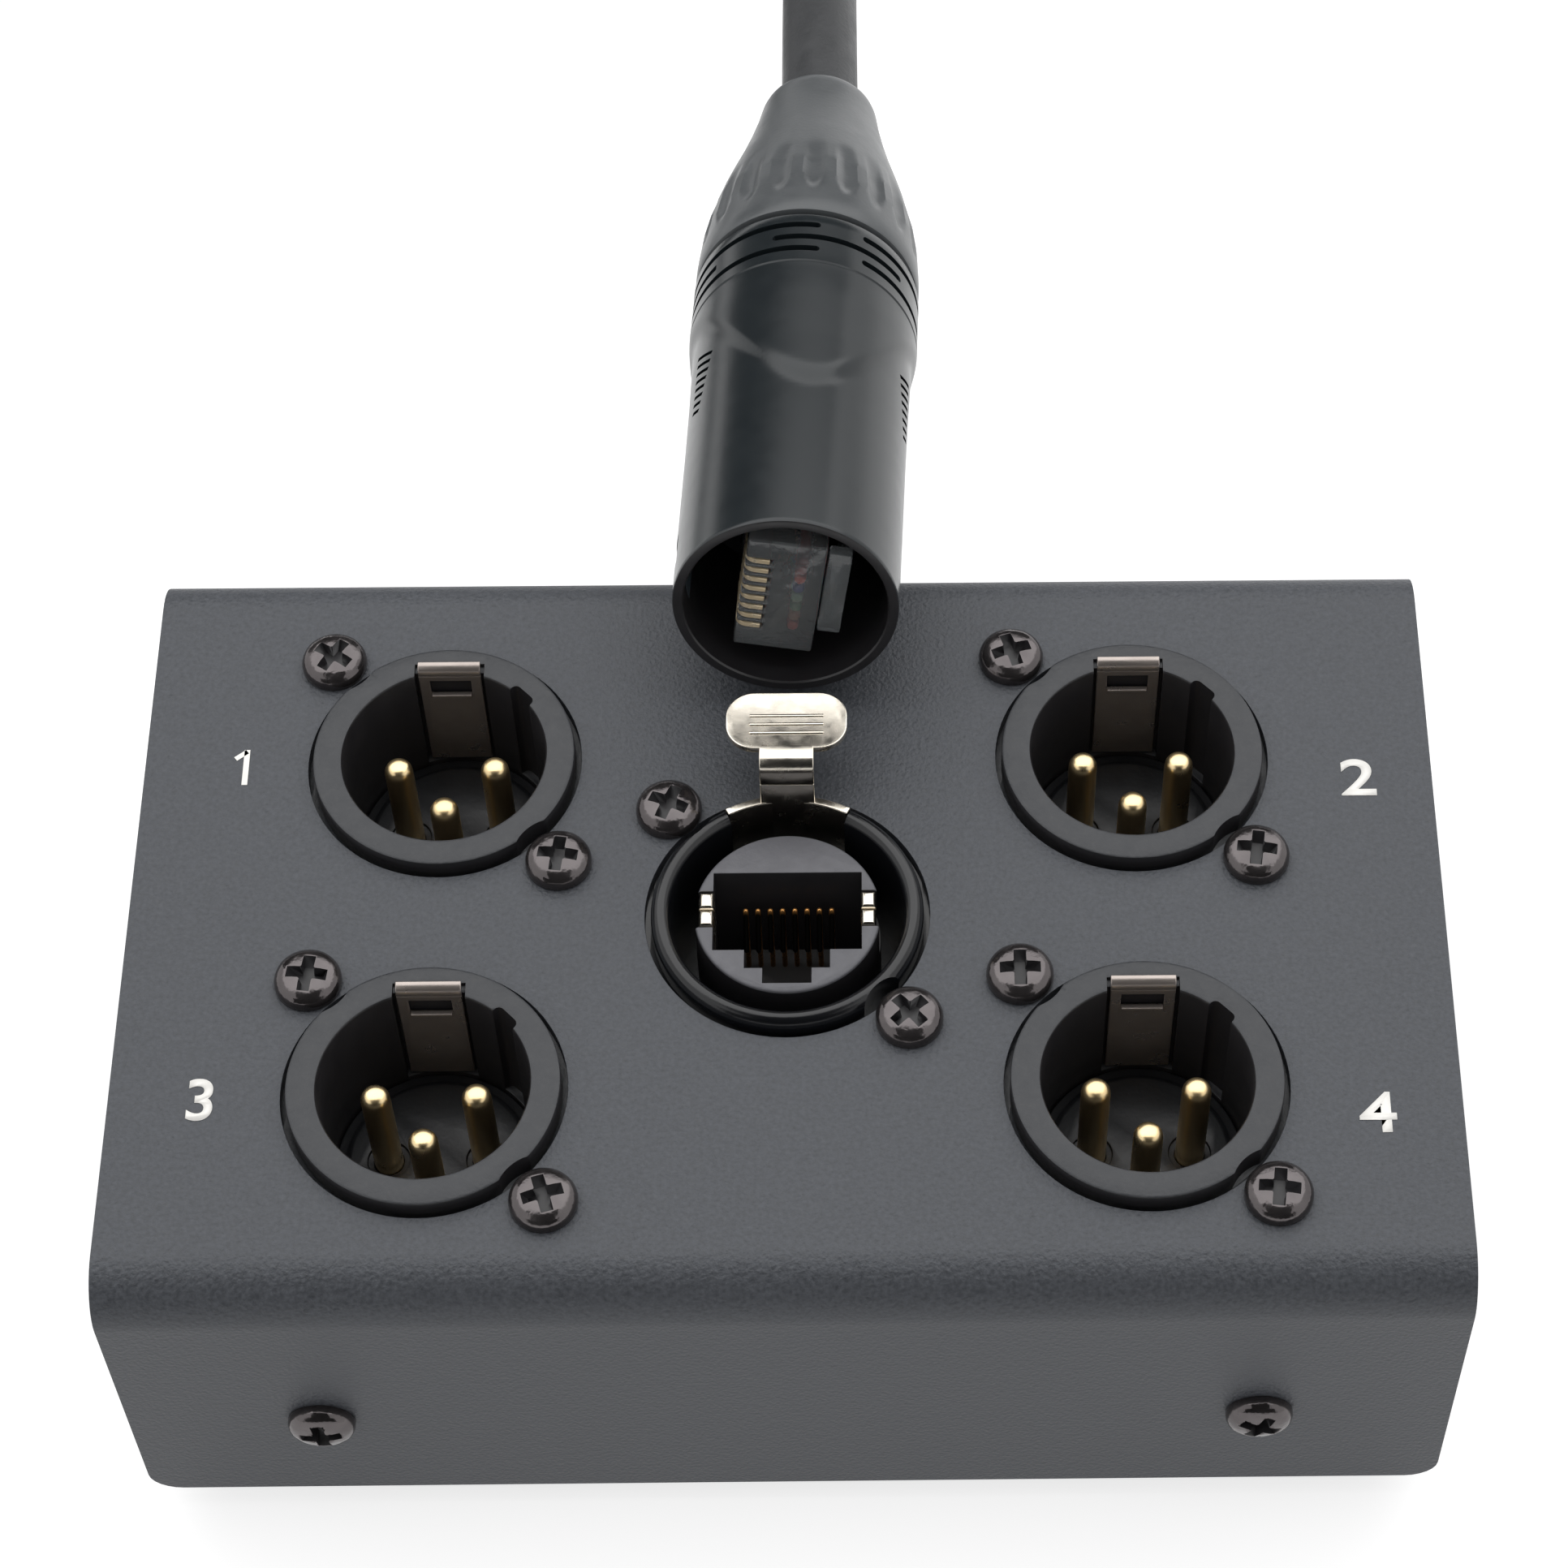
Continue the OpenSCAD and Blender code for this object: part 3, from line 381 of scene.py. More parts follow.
def round_corners(piece, width, segments, rule):
    """Rounds the corners of an open sheet that the rule holds for."""
    take_up(piece)
    choose(piece, "verts", rule)
    bpy.ops.mesh.bevel(offset=width * mm, segments=segments, affect="VERTICES")
    put_down()


def finish_with(piece, kind, **settings):
    """Adds a modifier to a piece and applies it."""
    modifier = piece.modifiers.new(kind.lower(), kind)
    for name, value in settings.items():
        setattr(modifier, name, value)
    only(piece)
    bpy.ops.object.modifier_apply(modifier=modifier.name)


def join(piece, *others, name=None):
    """One piece of several that are made together."""
    only(piece, *others)
    bpy.ops.object.join()
    piece.name = name or piece.name
    return piece


def shade(piece, angle):
    """Shades a piece smooth, but for its edges that are sharper than the angle."""
    only(piece)
    bpy.ops.object.shade_smooth_by_angle(angle=math.radians(angle))
    return piece


def soften(piece, width, segments=2, angle=35):
    """Rounds a piece's sharp edges, and shades it smooth but for them."""
    limit = math.radians(angle)
    finish_with(piece, "BEVEL", width=width * mm, segments=segments, limit_method="ANGLE", angle_limit=limit)
    return shade(piece, angle)


def fitted(piece, body, slot, finish, *nodes):
    """Gives the piece its finish, the body it moves with, and the place of the frame's nodes."""
    piece.data.materials.clear()
    piece.data.materials.append(finish)
    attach(piece, body)
    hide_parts(*nodes)


def paint_shade_on(piece, finish, rule):
    """Puts a second material, for painted shade, on the piece's faces whose middle, in millimetres, the rule
    holds for.
    """
    piece.data.materials.append(finish)
    for face in piece.data.polygons:
        face.material_index = int(bool(rule(face.center / mm, face.normal)))


# Painted shade: a near-black material for faces deep in bores, mouths, screw crosses and the jack's opening,
# and for the socket rings' outer sides.
painted_shade_black = new_finish(
    "painted_shade_black", card(32, 31, 33), card(38, 37, 39), (0.32, 0.42), 1800, 0.01, patches=500
)

# Tie: a hook-and-loop strap, woven, 12 mm wide, that holds the coil's turns together. Its free end lies
# back over the loop.
tie_weave = bpy.data.materials.new("tie_fabric")
weave_tree, weave_out = plain_nodes(tie_weave, "OutputMaterial")
weave_shader = node(weave_tree, "BsdfPrincipled", {"Roughness": 0.85, "Sheen Weight": 0.25})
weave_place = node(weave_tree, "TexCoord")
weave_both = node(weave_tree, "Math", operation="MULTIPLY")
weave_colour = node(weave_tree, "Mix", {"A": card(18, 18, 20), "B": card(58, 58, 60)}, data_type="RGBA")
weave_relief = node(weave_tree, "Bump", {"Distance": 0.15 * mm})
for inlet, (way, rate) in enumerate((("Y", 380), ("DIAGONAL", 300))):
    threads = node(weave_tree, "TexWave", {"Scale": rate}, bands_direction=way)
    feed(weave_place, "Object", threads, "Vector")
    feed(threads, "Fac", weave_both, inlet)
feed(weave_both, 0, weave_colour, "Factor")
feed(weave_colour, "Result", weave_shader, "Base Color")
feed(weave_both, 0, weave_relief, "Height")
feed(weave_relief, 0, weave_shader, "Normal")
feed(weave_shader, 0, weave_out, 0)

tie_y = 193.3
tie = bar("coil_tie", (-88.5, tie_y - 6, 0.05), (-64.9, tie_y + 6, 16.2))
open_up(tie, lambda at, face: abs(face.normal.y) > 0.9)
round_edges(tie, 3, 6, lambda at, edge: abs(at.y - tie_y) < 0.1)
finish_with(tie, "SOLIDIFY", thickness=0.7 * mm, offset=-1)
join(tie, bar("tie_end", (-81, tie_y - 5.9, 16.1), (-71, tie_y + 5.9, 16.4)))
soften(tie, 0.15)
fitted(tie, "lead", "tie_fabric", tie_weave, "lead_tie")

# Cover: one sheet of 1.2 mm steel, folded down at the front and back on a 4.5 mm bend and punched for the
# sockets and screws. It is coated with dark grey powder after folding, so each edge is a little round.
panel = 37.0
sheet = 1.2
foot_height = 3.4
case_end, case_front = 54, 35.75
socket_centres = [(-28.85, 14.95), (28.85, 14.95), (-28.85, -16.85), (28.85, -16.85)]
data_centre = (0, -0.45)
socket_screws = [(-9.92, 10.2), (9.92, -10.2)]
side_screw_x, side_screw_z = 38.2, 16.4
screw_hole = 1.65
powder_coat = new_finish(
    "powder_coat", card(34, 37, 42), card(84, 87, 93), (0.44, 0.56), 3000, 0.1, patches=2600, dusty=0.02
)

cover = bar("cover", (-case_end, -case_front, foot_height), (case_end, case_front, panel))
open_up(cover, lambda at, face: face.normal.z < -0.9 or abs(face.normal.x) > 0.9)
round_edges(cover, 4.5, 10, lambda at, edge: at.z > panel - 0.1 and abs(at.y) > case_front - 0.05)
round_corners(cover, 2.6, 6, lambda at, vert: at.z < foot_height + 0.1)
finish_with(cover, "SOLIDIFY", thickness=sheet * mm, offset=-1)


def drill(name, radius, low, high, centres, across=False, sides=96):
    """Round cutters of one size, joined: upright, or front to back through (x, z) centres."""
    cutters = []
    middle = (low + high) / 2
    for one, two in centres:
        bpy.ops.mesh.primitive_cylinder_add(
            vertices=sides,
            radius=radius * mm,
            depth=(high - low) * mm,
            location=Vector((one, middle, two) if across else (one, two, middle)) * mm,
            rotation=(math.pi / 2, 0, 0) if across else (0, 0, 0),
        )
        cutters.append(in_place(bpy.context.object))
    cutters[0].name = name
    return join(*cutters)


def cut_out(piece, *cutters):
    """Takes the cutters' shapes out of a piece."""
    for cutter in cutters:
        finish_with(piece, "BOOLEAN", operation="DIFFERENCE", solver="EXACT", object=cutter)
        bpy.data.objects.remove(cutter)


every_screw = [(x + dx, y + dy) for x, y in socket_centres + [data_centre] for dx, dy in socket_screws]
side_screws_at = [(-side_screw_x, side_screw_z), (side_screw_x, side_screw_z)]
cut_out(
    cover,
    drill("audio_holes", 11.45, 30, 40, socket_centres),
    drill("data_hole", 11.7, 30, 40, [data_centre], sides=128),
    drill("socket_screw_holes", screw_hole, 30, 40, every_screw, sides=40),
    drill("side_screw_holes", screw_hole, -40, 40, side_screws_at, across=True, sides=40),
)
soften(cover, 0.16)
finish_with(cover, "WEIGHTED_NORMAL", keep_sharp=True)
fitted(cover, "case", "powder_coat", powder_coat, "top_cover")

# Tray: floor, ends and low front and back lips, folded from the same coated steel. The cover's front and
# back hang over the lips, and the tray's ends close the cover's ends.
tray_end, tray_front = 53.4, 34.25
lip_height, lip_end = 18.2, 51.2
tray = bar("tray", (-tray_end, -tray_front, foot_height), (tray_end, tray_front, 35.5))
open_up(tray, lambda at, face: face.normal.z > 0.9 or abs(face.normal.y) > 0.9)
take_up(tray)
choose(tray, "edges", lambda at, edge: at.z < foot_height + 0.1 and abs(at.y) > tray_front - 0.05)
bpy.ops.mesh.extrude_edges_move(TRANSFORM_OT_translate={"value": (0, 0, lip_height * mm)})
choose(tray, "verts", lambda at, vert: abs(at.z - foot_height - lip_height) < 0.1)
bpy.ops.transform.resize(value=(lip_end / tray_end, 1, 1), center_override=(0, 0, 0))
put_down()
round_corners(tray, 3.6, 6, lambda at, vert: at.z > 35.4)
round_edges(tray, 1.5, 5, lambda at, edge: at.z < foot_height + 0.1)
take_up(tray)
bpy.ops.mesh.select_all(action="SELECT")
bpy.ops.mesh.normals_make_consistent(inside=False)
put_down()
finish_with(tray, "SOLIDIFY", thickness=sheet * mm, offset=-1)
soften(tray, 0.15)
fitted(tray, "case", "powder_coat", powder_coat, "bottom_tray")

# Printed numbers: white ink, screen-printed beside each audio socket. The ink stands a few hundredths of
# a millimetre above the coat. The 1 is only a stem with a slanting flag, so it is drawn from two strokes.
white_ink = new_finish(
    "white_ink", card(250, 248, 243), card(238, 236, 231), (0.45, 0.6), 2600, 0.02, patches=900
)
ink_low, ink_high = panel + 0.02, panel + 0.05
number_places = [
    ("2", 46.3, 10.84, 49.25, 14.53),
    ("3", -47.67, -19.42, -45.6, -15.57),
    ("4", 45.63, -21.43, 48.61, -17.75),
]
for digit, left, low, right, high in number_places:
    line = bpy.data.curves.new("number_" + digit, "FONT")
    line.body = digit
    line.size = 5 * mm
    line.offset = 0.09 * mm
    number = put_in("number_" + digit, line)
    only(number)
    bpy.ops.object.convert(target="MESH")
    near = [min(vert.co[i] for vert in number.data.vertices) for i in (0, 1)]
    far = [max(vert.co[i] for vert in number.data.vertices) for i in (0, 1)]
    grow = ((right - left) * mm / (far[0] - near[0]), (high - low) * mm / (far[1] - near[1]))
    to_corner = Matrix.Translation((-near[0], -near[1], 0))
    in_place(number, shift(left, low, ink_low) @ Matrix.Diagonal((grow[0], grow[1], 1, 1)) @ to_corner)
    finish_with(number, "SOLIDIFY", thickness=0.03 * mm, offset=1)
    fitted(number, "case", "powder_coat", white_ink)
one_stem = bar("number_1", (-45.78, 12.84, ink_low), (-45.3, 16.39, ink_high))
one_flag = bar("one_flag", (-0.6, -0.22, ink_low), (0.6, 0.22, ink_high))
in_place(one_flag, shift(-46, 15.85, 0) @ swing("Z", 38))
fitted(join(one_stem, one_flag), "case", "powder_coat", white_ink)


# Screws: pan heads with a pressed cross, black nickel over steel. Four hold the cover's front and back to
# the tray, and two hold each socket's flange up under the panel.
def close_up(gap):
    """Merges verts within a gap in millimetres, turns the faces outwards and ends edit mode."""
    bpy.ops.mesh.select_all(action="SELECT")
    bpy.ops.mesh.remove_doubles(threshold=gap * mm)
    bpy.ops.mesh.normals_make_consistent(inside=False)
    put_down()


def turned(name, rings, sides=96, open_middle=False):
    """A round piece, drawn out ring by ring, each (radius, height) in millimetres."""
    radius, height = rings[0]
    bpy.ops.mesh.primitive_circle_add(
        vertices=sides,
        radius=radius * mm,
        fill_type="NOTHING" if open_middle else "NGON",
        location=(0, 0, height * mm),
    )
    piece = in_place(bpy.context.object)
    piece.name = name
    bpy.ops.object.mode_set(mode="EDIT")
    bpy.ops.mesh.select_all(action="SELECT")
    for step in rings[1:] + (rings[:1] if open_middle else []):
        move = {"value": (0, 0, (step[1] - height) * mm)}
        if open_middle:
            bpy.ops.mesh.extrude_edges_move(TRANSFORM_OT_translate=move)
        else:
            bpy.ops.mesh.extrude_region_move(TRANSFORM_OT_translate=move)
        share = step[0] / radius
        bpy.ops.transform.resize(value=(share, share, 1), center_override=(0, 0, step[1] * mm))
        radius, height = step
    close_up(0.002)
    return piece


def copied(piece, name, place):
    """Another of the same piece, with its own mesh, in its own place."""
    other = piece.copy()
    other.data = piece.data.copy()
    other.name = name
    bpy.context.collection.objects.link(other)
    return in_place(other, place)


def pan_screw(name, length):
    """A screw with its head's underside at zero, head upwards."""
    screw = turned(
        name,
        [(1.1, -length), (1.5, 0.4 - length), (1.5, 0), (2.7, 0), (2.75, 0.08), (2.74, 0.6), (2.6, 0.98)]
        + [(2.3, 1.29), (1.85, 1.5), (1.2, 1.64), (0.5, 1.69)],
        sides=56,
    )
    arm = bar("cross_arm", (-2.15, -0.56, 0.45), (2.15, 0.56, 2.5))
    take_up(arm)
    choose(arm, "verts", lambda at, vert: at.z < 1)
    bpy.ops.transform.resize(value=(0.52, 0.8, 1), center_override=(0, 0, 0))
    put_down()
    other_arm = copied(arm, "cross_arm_2", swing("Z", 90))
    boss = turned("cross_middle", [(0.62, 0.5), (0.95, 2.5)], sides=8)
    cut_out(screw, arm, other_arm, boss)
    return soften(screw, 0.07, angle=40)


black_nickel = new_finish(
    "black_nickel", card(78, 74, 75), card(106, 101, 101), (0.1, 0.24), 700, 0.09, metal=0.85, patches=600
)
cross_low, cross_high, cross_reach = 0.4, 1.42, 1.7
short_screw = pan_screw("pan_screw_short", 6)
long_screw = pan_screw("pan_screw_long", 6.8)
turns_left = [12, 47, 71, 25, 58, 5, 33, 80, 64, 18]
socket_heads = [
    copied(long_screw, "head", shift(x, y, panel) @ Matrix.Rotation(turn, 4, "Z"))
    for (x, y), turn in zip(every_screw, turns_left)
]


def in_socket_cross(at, way):
    """Whether a face lies in the cross of a screw on the panel, where shade is painted."""
    off_axis = min(math.hypot(at.x - x, at.y - y) for x, y in every_screw)
    return cross_low < at.z - panel < cross_high and off_axis < cross_reach


def in_side_cross(at, way):
    """Whether a face lies in the cross of a screw in the cover's front or back, where shade is painted."""
    off_axis = math.hypot(abs(at.x) - side_screw_x, at.z - side_screw_z)
    return cross_low < abs(at.y) - case_front < cross_high and off_axis < cross_reach


audio_screws = join(*socket_heads[:8], name="audio_socket_pan_screws")
fitted(audio_screws, "case", "black_nickel", black_nickel, "audio_socket_screws")
data_screws = join(*socket_heads[8:], name="data_socket_pan_screws")
fitted(data_screws, "case", "black_nickel", black_nickel, "data_socket_screws")
side_heads = []
for side in (-1, 1):
    for x in (-side_screw_x, side_screw_x):
        place = shift(x, side * case_front, side_screw_z) @ swing("X", -90 * side)
        side_heads.append(copied(short_screw, "head", place @ Matrix.Rotation(0.6 + x, 4, "Z")))
side_screws = join(*side_heads, name="cover_pan_screws")
fitted(side_screws, "case", "black_nickel", black_nickel, "cover_screws")
# Painted shade: the faces in each screw's cross recess get the near-black material.
paint_shade_on(audio_screws, painted_shade_black, in_socket_cross)
paint_shade_on(data_screws, painted_shade_black, in_socket_cross)
paint_shade_on(side_screws, painted_shade_black, in_side_cross)
for pattern in (short_screw, long_screw):
    bpy.data.objects.remove(pattern)


# Small steel parts inside the case, zinc-plated: nuts, rivet nuts, the feet's screws, the latch springs and
# the pawl's pin. None can be seen from outside, so each keeps the plain shape that it has in the frame.
def carried(finish, *names):
    """Gives CAD pieces that are shown as they are their finish."""
    for name in names:
        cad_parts[name].data.materials.clear()
        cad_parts[name].data.materials.append(finish)


zinc = new_finish(
    "zinc", card(188, 190, 194), card(160, 163, 170), (0.28, 0.42), 1500, 0.02, metal=1.0, patches=700
)
carried(zinc, "rivet_nuts", "foot_screws", "foot_nuts", "socket_nuts", "pawl_pin", "tab_springs")

# Feet: four discs of moulded black rubber, 10 mm wide and 3.4 mm high, under the tray's floor. Each has a
# recess from below for its screw's head, and a soft edge where it stands on the table.
foot_rubber = new_finish(
    "foot_rubber", card(28, 28, 29), card(36, 36, 37), (0.7, 0.85), 2400, 0.06, patches=900
)
foot = turned(
    "foot",
    [(1.62, 2.2), (3.15, 2.2), (3.15, 0.3), (3.4, 0), (4.5, 0), (4.86, 0.16), (5, 0.5), (5, 3), (4.85, 3.3)]
    + [(4.6, foot_height), (1.62, foot_height)],
    open_middle=True,
)
shade(foot, 40)
foot_places = [(x, y) for x in (-38.5, 38.5) for y in (-26, 26)]
feet = join(*[copied(foot, "foot_copy", shift(x, y, 0)) for x, y in foot_places], name="feet")
bpy.data.objects.remove(foot)
fitted(feet, "case", "foot_rubber", foot_rubber, "rubber_feet")

# Audio sockets: a die-cast shell with a square flange under the panel and a round ring that stands 1.2 mm
# proud of it. The bore has a keyway, and each screw's head has its own shallow scallop in the ring.
black_casting = new_finish(
    "black_casting", card(36, 38, 42), card(47, 49, 53), (0.36, 0.48), 2600, 0.035, patches=900, dusty=0.02
)
socket_ring = turned(
    "socket_ring",
    [(8.5, -17), (8.5, 1), (8.62, 1.16), (8.8, 1.2), (10.7, 1.2), (10.89, 1.14), (10.95, 0.95)]
    + [(10.95, -1.25), (10.45, -1.25), (10.45, -17)],
    sides=128,
    open_middle=True,
)
insert_face = -11.4
key_half = 1.2
keyway = bar("keyway", (8, -key_half, insert_face), (9.15, key_half, 3))
round_edges(keyway, 0.5, 4, lambda at, edge: at.x > 9.1 and abs(abs(at.y) - key_half) < 0.05)
in_place(keyway, swing("Z", 44))
slot_half = 2.95
strip_slot = bar("strip_slot", (-slot_half, 7.2, insert_face), (slot_half, 8.72, 3))
lip_seat = bar("lip_seat", (-slot_half, 8, 0.75), (slot_half, 9.35, 3))
scallop = 3.75
scallops = drill("scallops", scallop, -1.2, 3, socket_screws, sides=64)
cut_out(socket_ring, keyway, strip_slot, lip_seat, scallops)
soften(socket_ring, 0.1, angle=40)


flange_half = 13.5
flange_low, flange_top = -3.8, -1.22


def flange_plate(name, bore):
    """The socket's square flange, under the panel."""
    plate = bar(name, (-flange_half, -flange_half, flange_low), (flange_half, flange_half, flange_top))
    round_edges(plate, 2.5, 6, lambda at, edge: min(abs(at.x), abs(at.y)) > flange_half - 0.1)
    holes = drill("flange_holes", screw_hole, -8, 3, socket_screws, sides=40)
    cut_out(plate, drill("bore", bore, -8, 3, [(0, 0)]), holes)
    return soften(plate, 0.15)


audio_plate = flange_plate("audio_flange", 10.4)
socket_shell = join(socket_ring, audio_plate)

# Its moulded contact insert closes the bore 11.4 mm down, with a low round plateau and a sunk seat round
# each of the three gold-plated pins. Their tips are round, and their other ends are solder cups.
insert_plastic = new_finish(
    "insert_plastic", card(26, 27, 30), card(32, 33, 36), (0.42, 0.55), 1900, 0.03, patches=600
)
gold_plate = new_finish(
    "gold_plate", card(244, 222, 176), card(236, 206, 152), (0.26, 0.34), 1200, 0.003, metal=1, patches=200
)
pin_places = [(-4.05, 0.1), (4.05, 0.1), (0, -3.95)]
insert = turned(
    "insert",
    [(8.45, -17), (8.45, -11.95), (8.35, -11.8), (7.75, -11.8), (7.6, -11.72), (7.3, -11.45)]
    + [(7.1, insert_face)],
)
seats = drill("pin_seats", 1.75, -11.75, -5, pin_places, sides=48)
cut_out(insert, seats, drill("pin_holes", 1.24, -20, -5, pin_places, sides=48))
soften(insert, 0.08, angle=30)
pin = turned(
    "pin",
    [(1.4, -21.4), (1.4, -17), (1.2, -17), (1.2, -1.55), (1.16, -1.2), (1.02, -0.86), (0.8, -0.65)]
    + [(0.5, -0.53), (0.2, -0.5)],
    sides=40,
)
shade(pin, 50)
pins = join(*[copied(pin, "pin_copy", shift(x, y, 0)) for x, y in pin_places])
bpy.data.objects.remove(pin)

# A ground strip of dark spring steel stands in a slot at the back of the bore. Its upper end is folded back
# over the ring, and a window in it holds its springing tongue.
dark_steel, dark_steel_2 = card(176, 167, 161), card(158, 148, 142)
strip_steel = new_finish(
    "dark_spring_metal", dark_steel, dark_steel_2, (0.26, 0.36), 1500, 0.002, metal=0.8, patches=500
)
strip_half = 2.65
strip_front, strip_back, strip_top = 8.25, 8.6, 0.9
strip = bar("ground_strip", (-strip_half, strip_front, -11.1), (strip_half, strip_back, strip_top))
cut_out(strip, bar("strip_window", (-1.75, 7, -1.65), (1.75, 9.5, 0.25)))
lip = bar("strip_lip", (-strip_half, strip_front, strip_top), (strip_half, strip_back, 1.2))
take_up(lip)
choose(lip, "faces", lambda at, face: face.normal.z > 0.9)
for away, up, tilt in ((0.06, 0.22, 14), (0.15, 0.18, 22), (0.22, 0.1, 24), (0.3, 0.02, 24)):
    bpy.ops.mesh.extrude_region_move(TRANSFORM_OT_translate={"value": (0, away * mm, up * mm)})
    chosen = [v.co for v in bmesh.from_edit_mesh(lip.data).verts if v.select]
    middle = sum(chosen, Vector()) / len(chosen)
    bpy.ops.transform.rotate(value=math.radians(tilt), orient_axis="X", center_override=middle)
put_down()
tongue = bar("strip_tongue", (-1.7, 7.9, -1.8), (1.7, 8.4, -1.42))
strip = join(strip, lip, tongue)
soften(strip, 0.09, segments=3, angle=40)

socket_parts = [
    (socket_shell, "audio_shell", "black_casting", black_casting, "shell"),
    (insert, "contact_insert", "insert_plastic", insert_plastic, "insert"),
    (pins, "contact_pins", "gold_plate", gold_plate, "pins"),
    (strip, "ground_spring", "dark_spring_metal", strip_steel, "ground_strip"),
]
for number, (x, y) in enumerate(socket_centres, 1):

    # Painted shade: the bore's walls and the ring's outer side get the near-black material.
    def in_the_bore(at, way):
        inside = math.hypot(at.x - x, at.y - y) < 9.7
        return way.z < 0.6 and (inside or at.z > panel - sheet)

    for pattern, word, slot, finish, part in socket_parts:
        piece = copied(pattern, "%s_%d" % (word, number), shift(x, y, panel))
        fitted(piece, "case", slot, finish, "audio_socket_%d_%s" % (number, part))
        if pattern is socket_shell:
            paint_shade_on(piece, painted_shade_black, in_the_bore)
for pattern in (socket_shell, insert, pins, strip):
    bpy.data.objects.remove(pattern)

# Data socket: a moulded housing on the same kind of flange, with a glossy rounded rim that is open at the
# back for the release tab. Its round eight-way jack stands in the middle of an annular bore.
black_housing = new_finish(
    "black_housing", card(12, 13, 16), card(18, 19, 22), (0.18, 0.26), 1600, 0.01, patches=300
)
at_data = shift(*data_centre, panel)
rim = turned(
    "data_rim",
    [(9.65, -12.5), (9.65, 0.5), (9.72, 0.72), (9.9, 0.98), (10.1, 1.15), (10.3, 1.2), (10.52, 1.17)]
    + [(10.75, 1.07), (10.95, 0.88), (11.1, 0.62), (11.18, 0.35), (11.2, 0), (11.2, -14.5), (6.2, -14.5)]
    + [(6.2, -12.5)],
    sides=144,
    open_middle=True,
)


def arc_piece(name, inner, outer, low, high, start, stop, steps=24):
    """A curved plate between two radii and two angles, in millimetres and degrees."""
    middle = ((inner + outer) / 2 * mm, 0, (low + high) / 2 * mm)
    bpy.ops.mesh.primitive_plane_add(size=1, location=middle, rotation=(math.pi / 2, 0, 0))
    piece = bpy.context.object
    piece.name = name
    piece.scale = ((outer - inner) * mm, (high - low) * mm, 1)
    bpy.context.view_layer.update()
    in_place(piece)
    in_place(piece, swing("Z", start))
    bpy.ops.object.mode_set(mode="EDIT")
    bpy.ops.mesh.select_all(action="SELECT")
    sweep = math.radians(start - stop)
    bpy.ops.mesh.spin(steps=steps, angle=sweep, center=(0, 0, 0), axis=(0, 0, 1), use_auto_merge=False)
    close_up(0.001)
    return piece


def tab_gap():
    """A cutter for the gap in the rim that the tab's shoulders run in."""
    return arc_piece("tab_gap", 9.2, 11.35, -7, 3, 61, 119)


def tab_rooms(back):
    """Cutters for the tab's gap, its wider room below and the pawl's room, as far as the back."""
    room = arc_piece("tab_room", 9.6, 12.7, -7, flange_low, 60, 120)
    return tab_gap(), room, bar("pawl_room", (-2, 8.5, -12.5), (2, back, -3.9))


tower = bar("data_tower", (-7, 9.9, -14.5), (7, flange_half, flange_top))
data_plate = flange_plate("data_flange", 11.1)
cut_out(rim, *tab_rooms(12), drill("rim_scallops", scallop, -1.2, 3, socket_screws, sides=64))
cut_out(tower, *tab_rooms(16.5))
cut_out(data_plate, tab_gap())
housing = shade(join(rim, tower, data_plate), 32)
in_place(housing, at_data)
fitted(housing, "case", "black_housing", black_housing, "data_socket_housing")

# The jack is grey plastic, with an eight-way opening stepped at the front for the plug's lever. Two silver
# shield springs with two humps each stand beside it, and eight gold wires slope down into it.
grey_plastic = new_finish(
    "grey_plastic", card(98, 98, 103), card(88, 88, 92), (0.42, 0.55), 2200, 0.04, patches=900
)
jack = turned("jack", [(6.1, -15.8), (6.1, -12.5), (7.65, -12.5), (7.65, 0.05), (7.58, 0.22), (7.4, 0.3)])
mouth_floor = -11.7
mouth = bar("jack_mouth", (-6.1, -3.55, mouth_floor), (6.1, 3.9, 3))
first_step = bar("first_step", (-3.5, -5.3, mouth_floor), (3.5, -3, 3))
second_step = bar("second_step", (-2, -6.75, mouth_floor), (2, -5, 3))
spring_rooms = [bar("spring_room", (x - 0.85, -1.35, -4), (x + 0.85, 2.15, 3)) for x in (-6.85, 6.85)]
cut_out(jack, mouth, first_step, second_step, *spring_rooms)
soften(jack, 0.12, angle=40)
in_place(jack, at_data)
fitted(jack, "case", "grey_plastic", grey_plastic, "data_socket_jack")
# Painted shade: the jack's faces a little below the panel's top, down in its opening, get the near-black
# material.
paint_shade_on(jack, painted_shade_black, lambda at, way: at.z < panel - 0.25)

nickel = new_finish(
    "nickel", card(234, 227, 214), card(214, 206, 192), (0.16, 0.3), 1500, 0.004, metal=1.0, patches=900
)
humps = []
for x in (-6.65, 6.65):
    for low in (-1.28, 0.44):
        hump = bar("hump", (x - 0.62, low, -3.8), (x + 0.62, low + 1.62, 0.38))
        round_edges(hump, 0.38, 5, lambda at, edge: at.z > 0.3)
        humps.append(hump)
    humps.append(bar("hump_root", (x - 0.3, -1.15, -3.9), (x + 0.3, 1.9, -1)))
springs = shade(join(*humps, name="shield_springs"), 40)
in_place(springs, at_data)
fitted(springs, "case", "nickel", nickel, "data_socket_shield_springs")

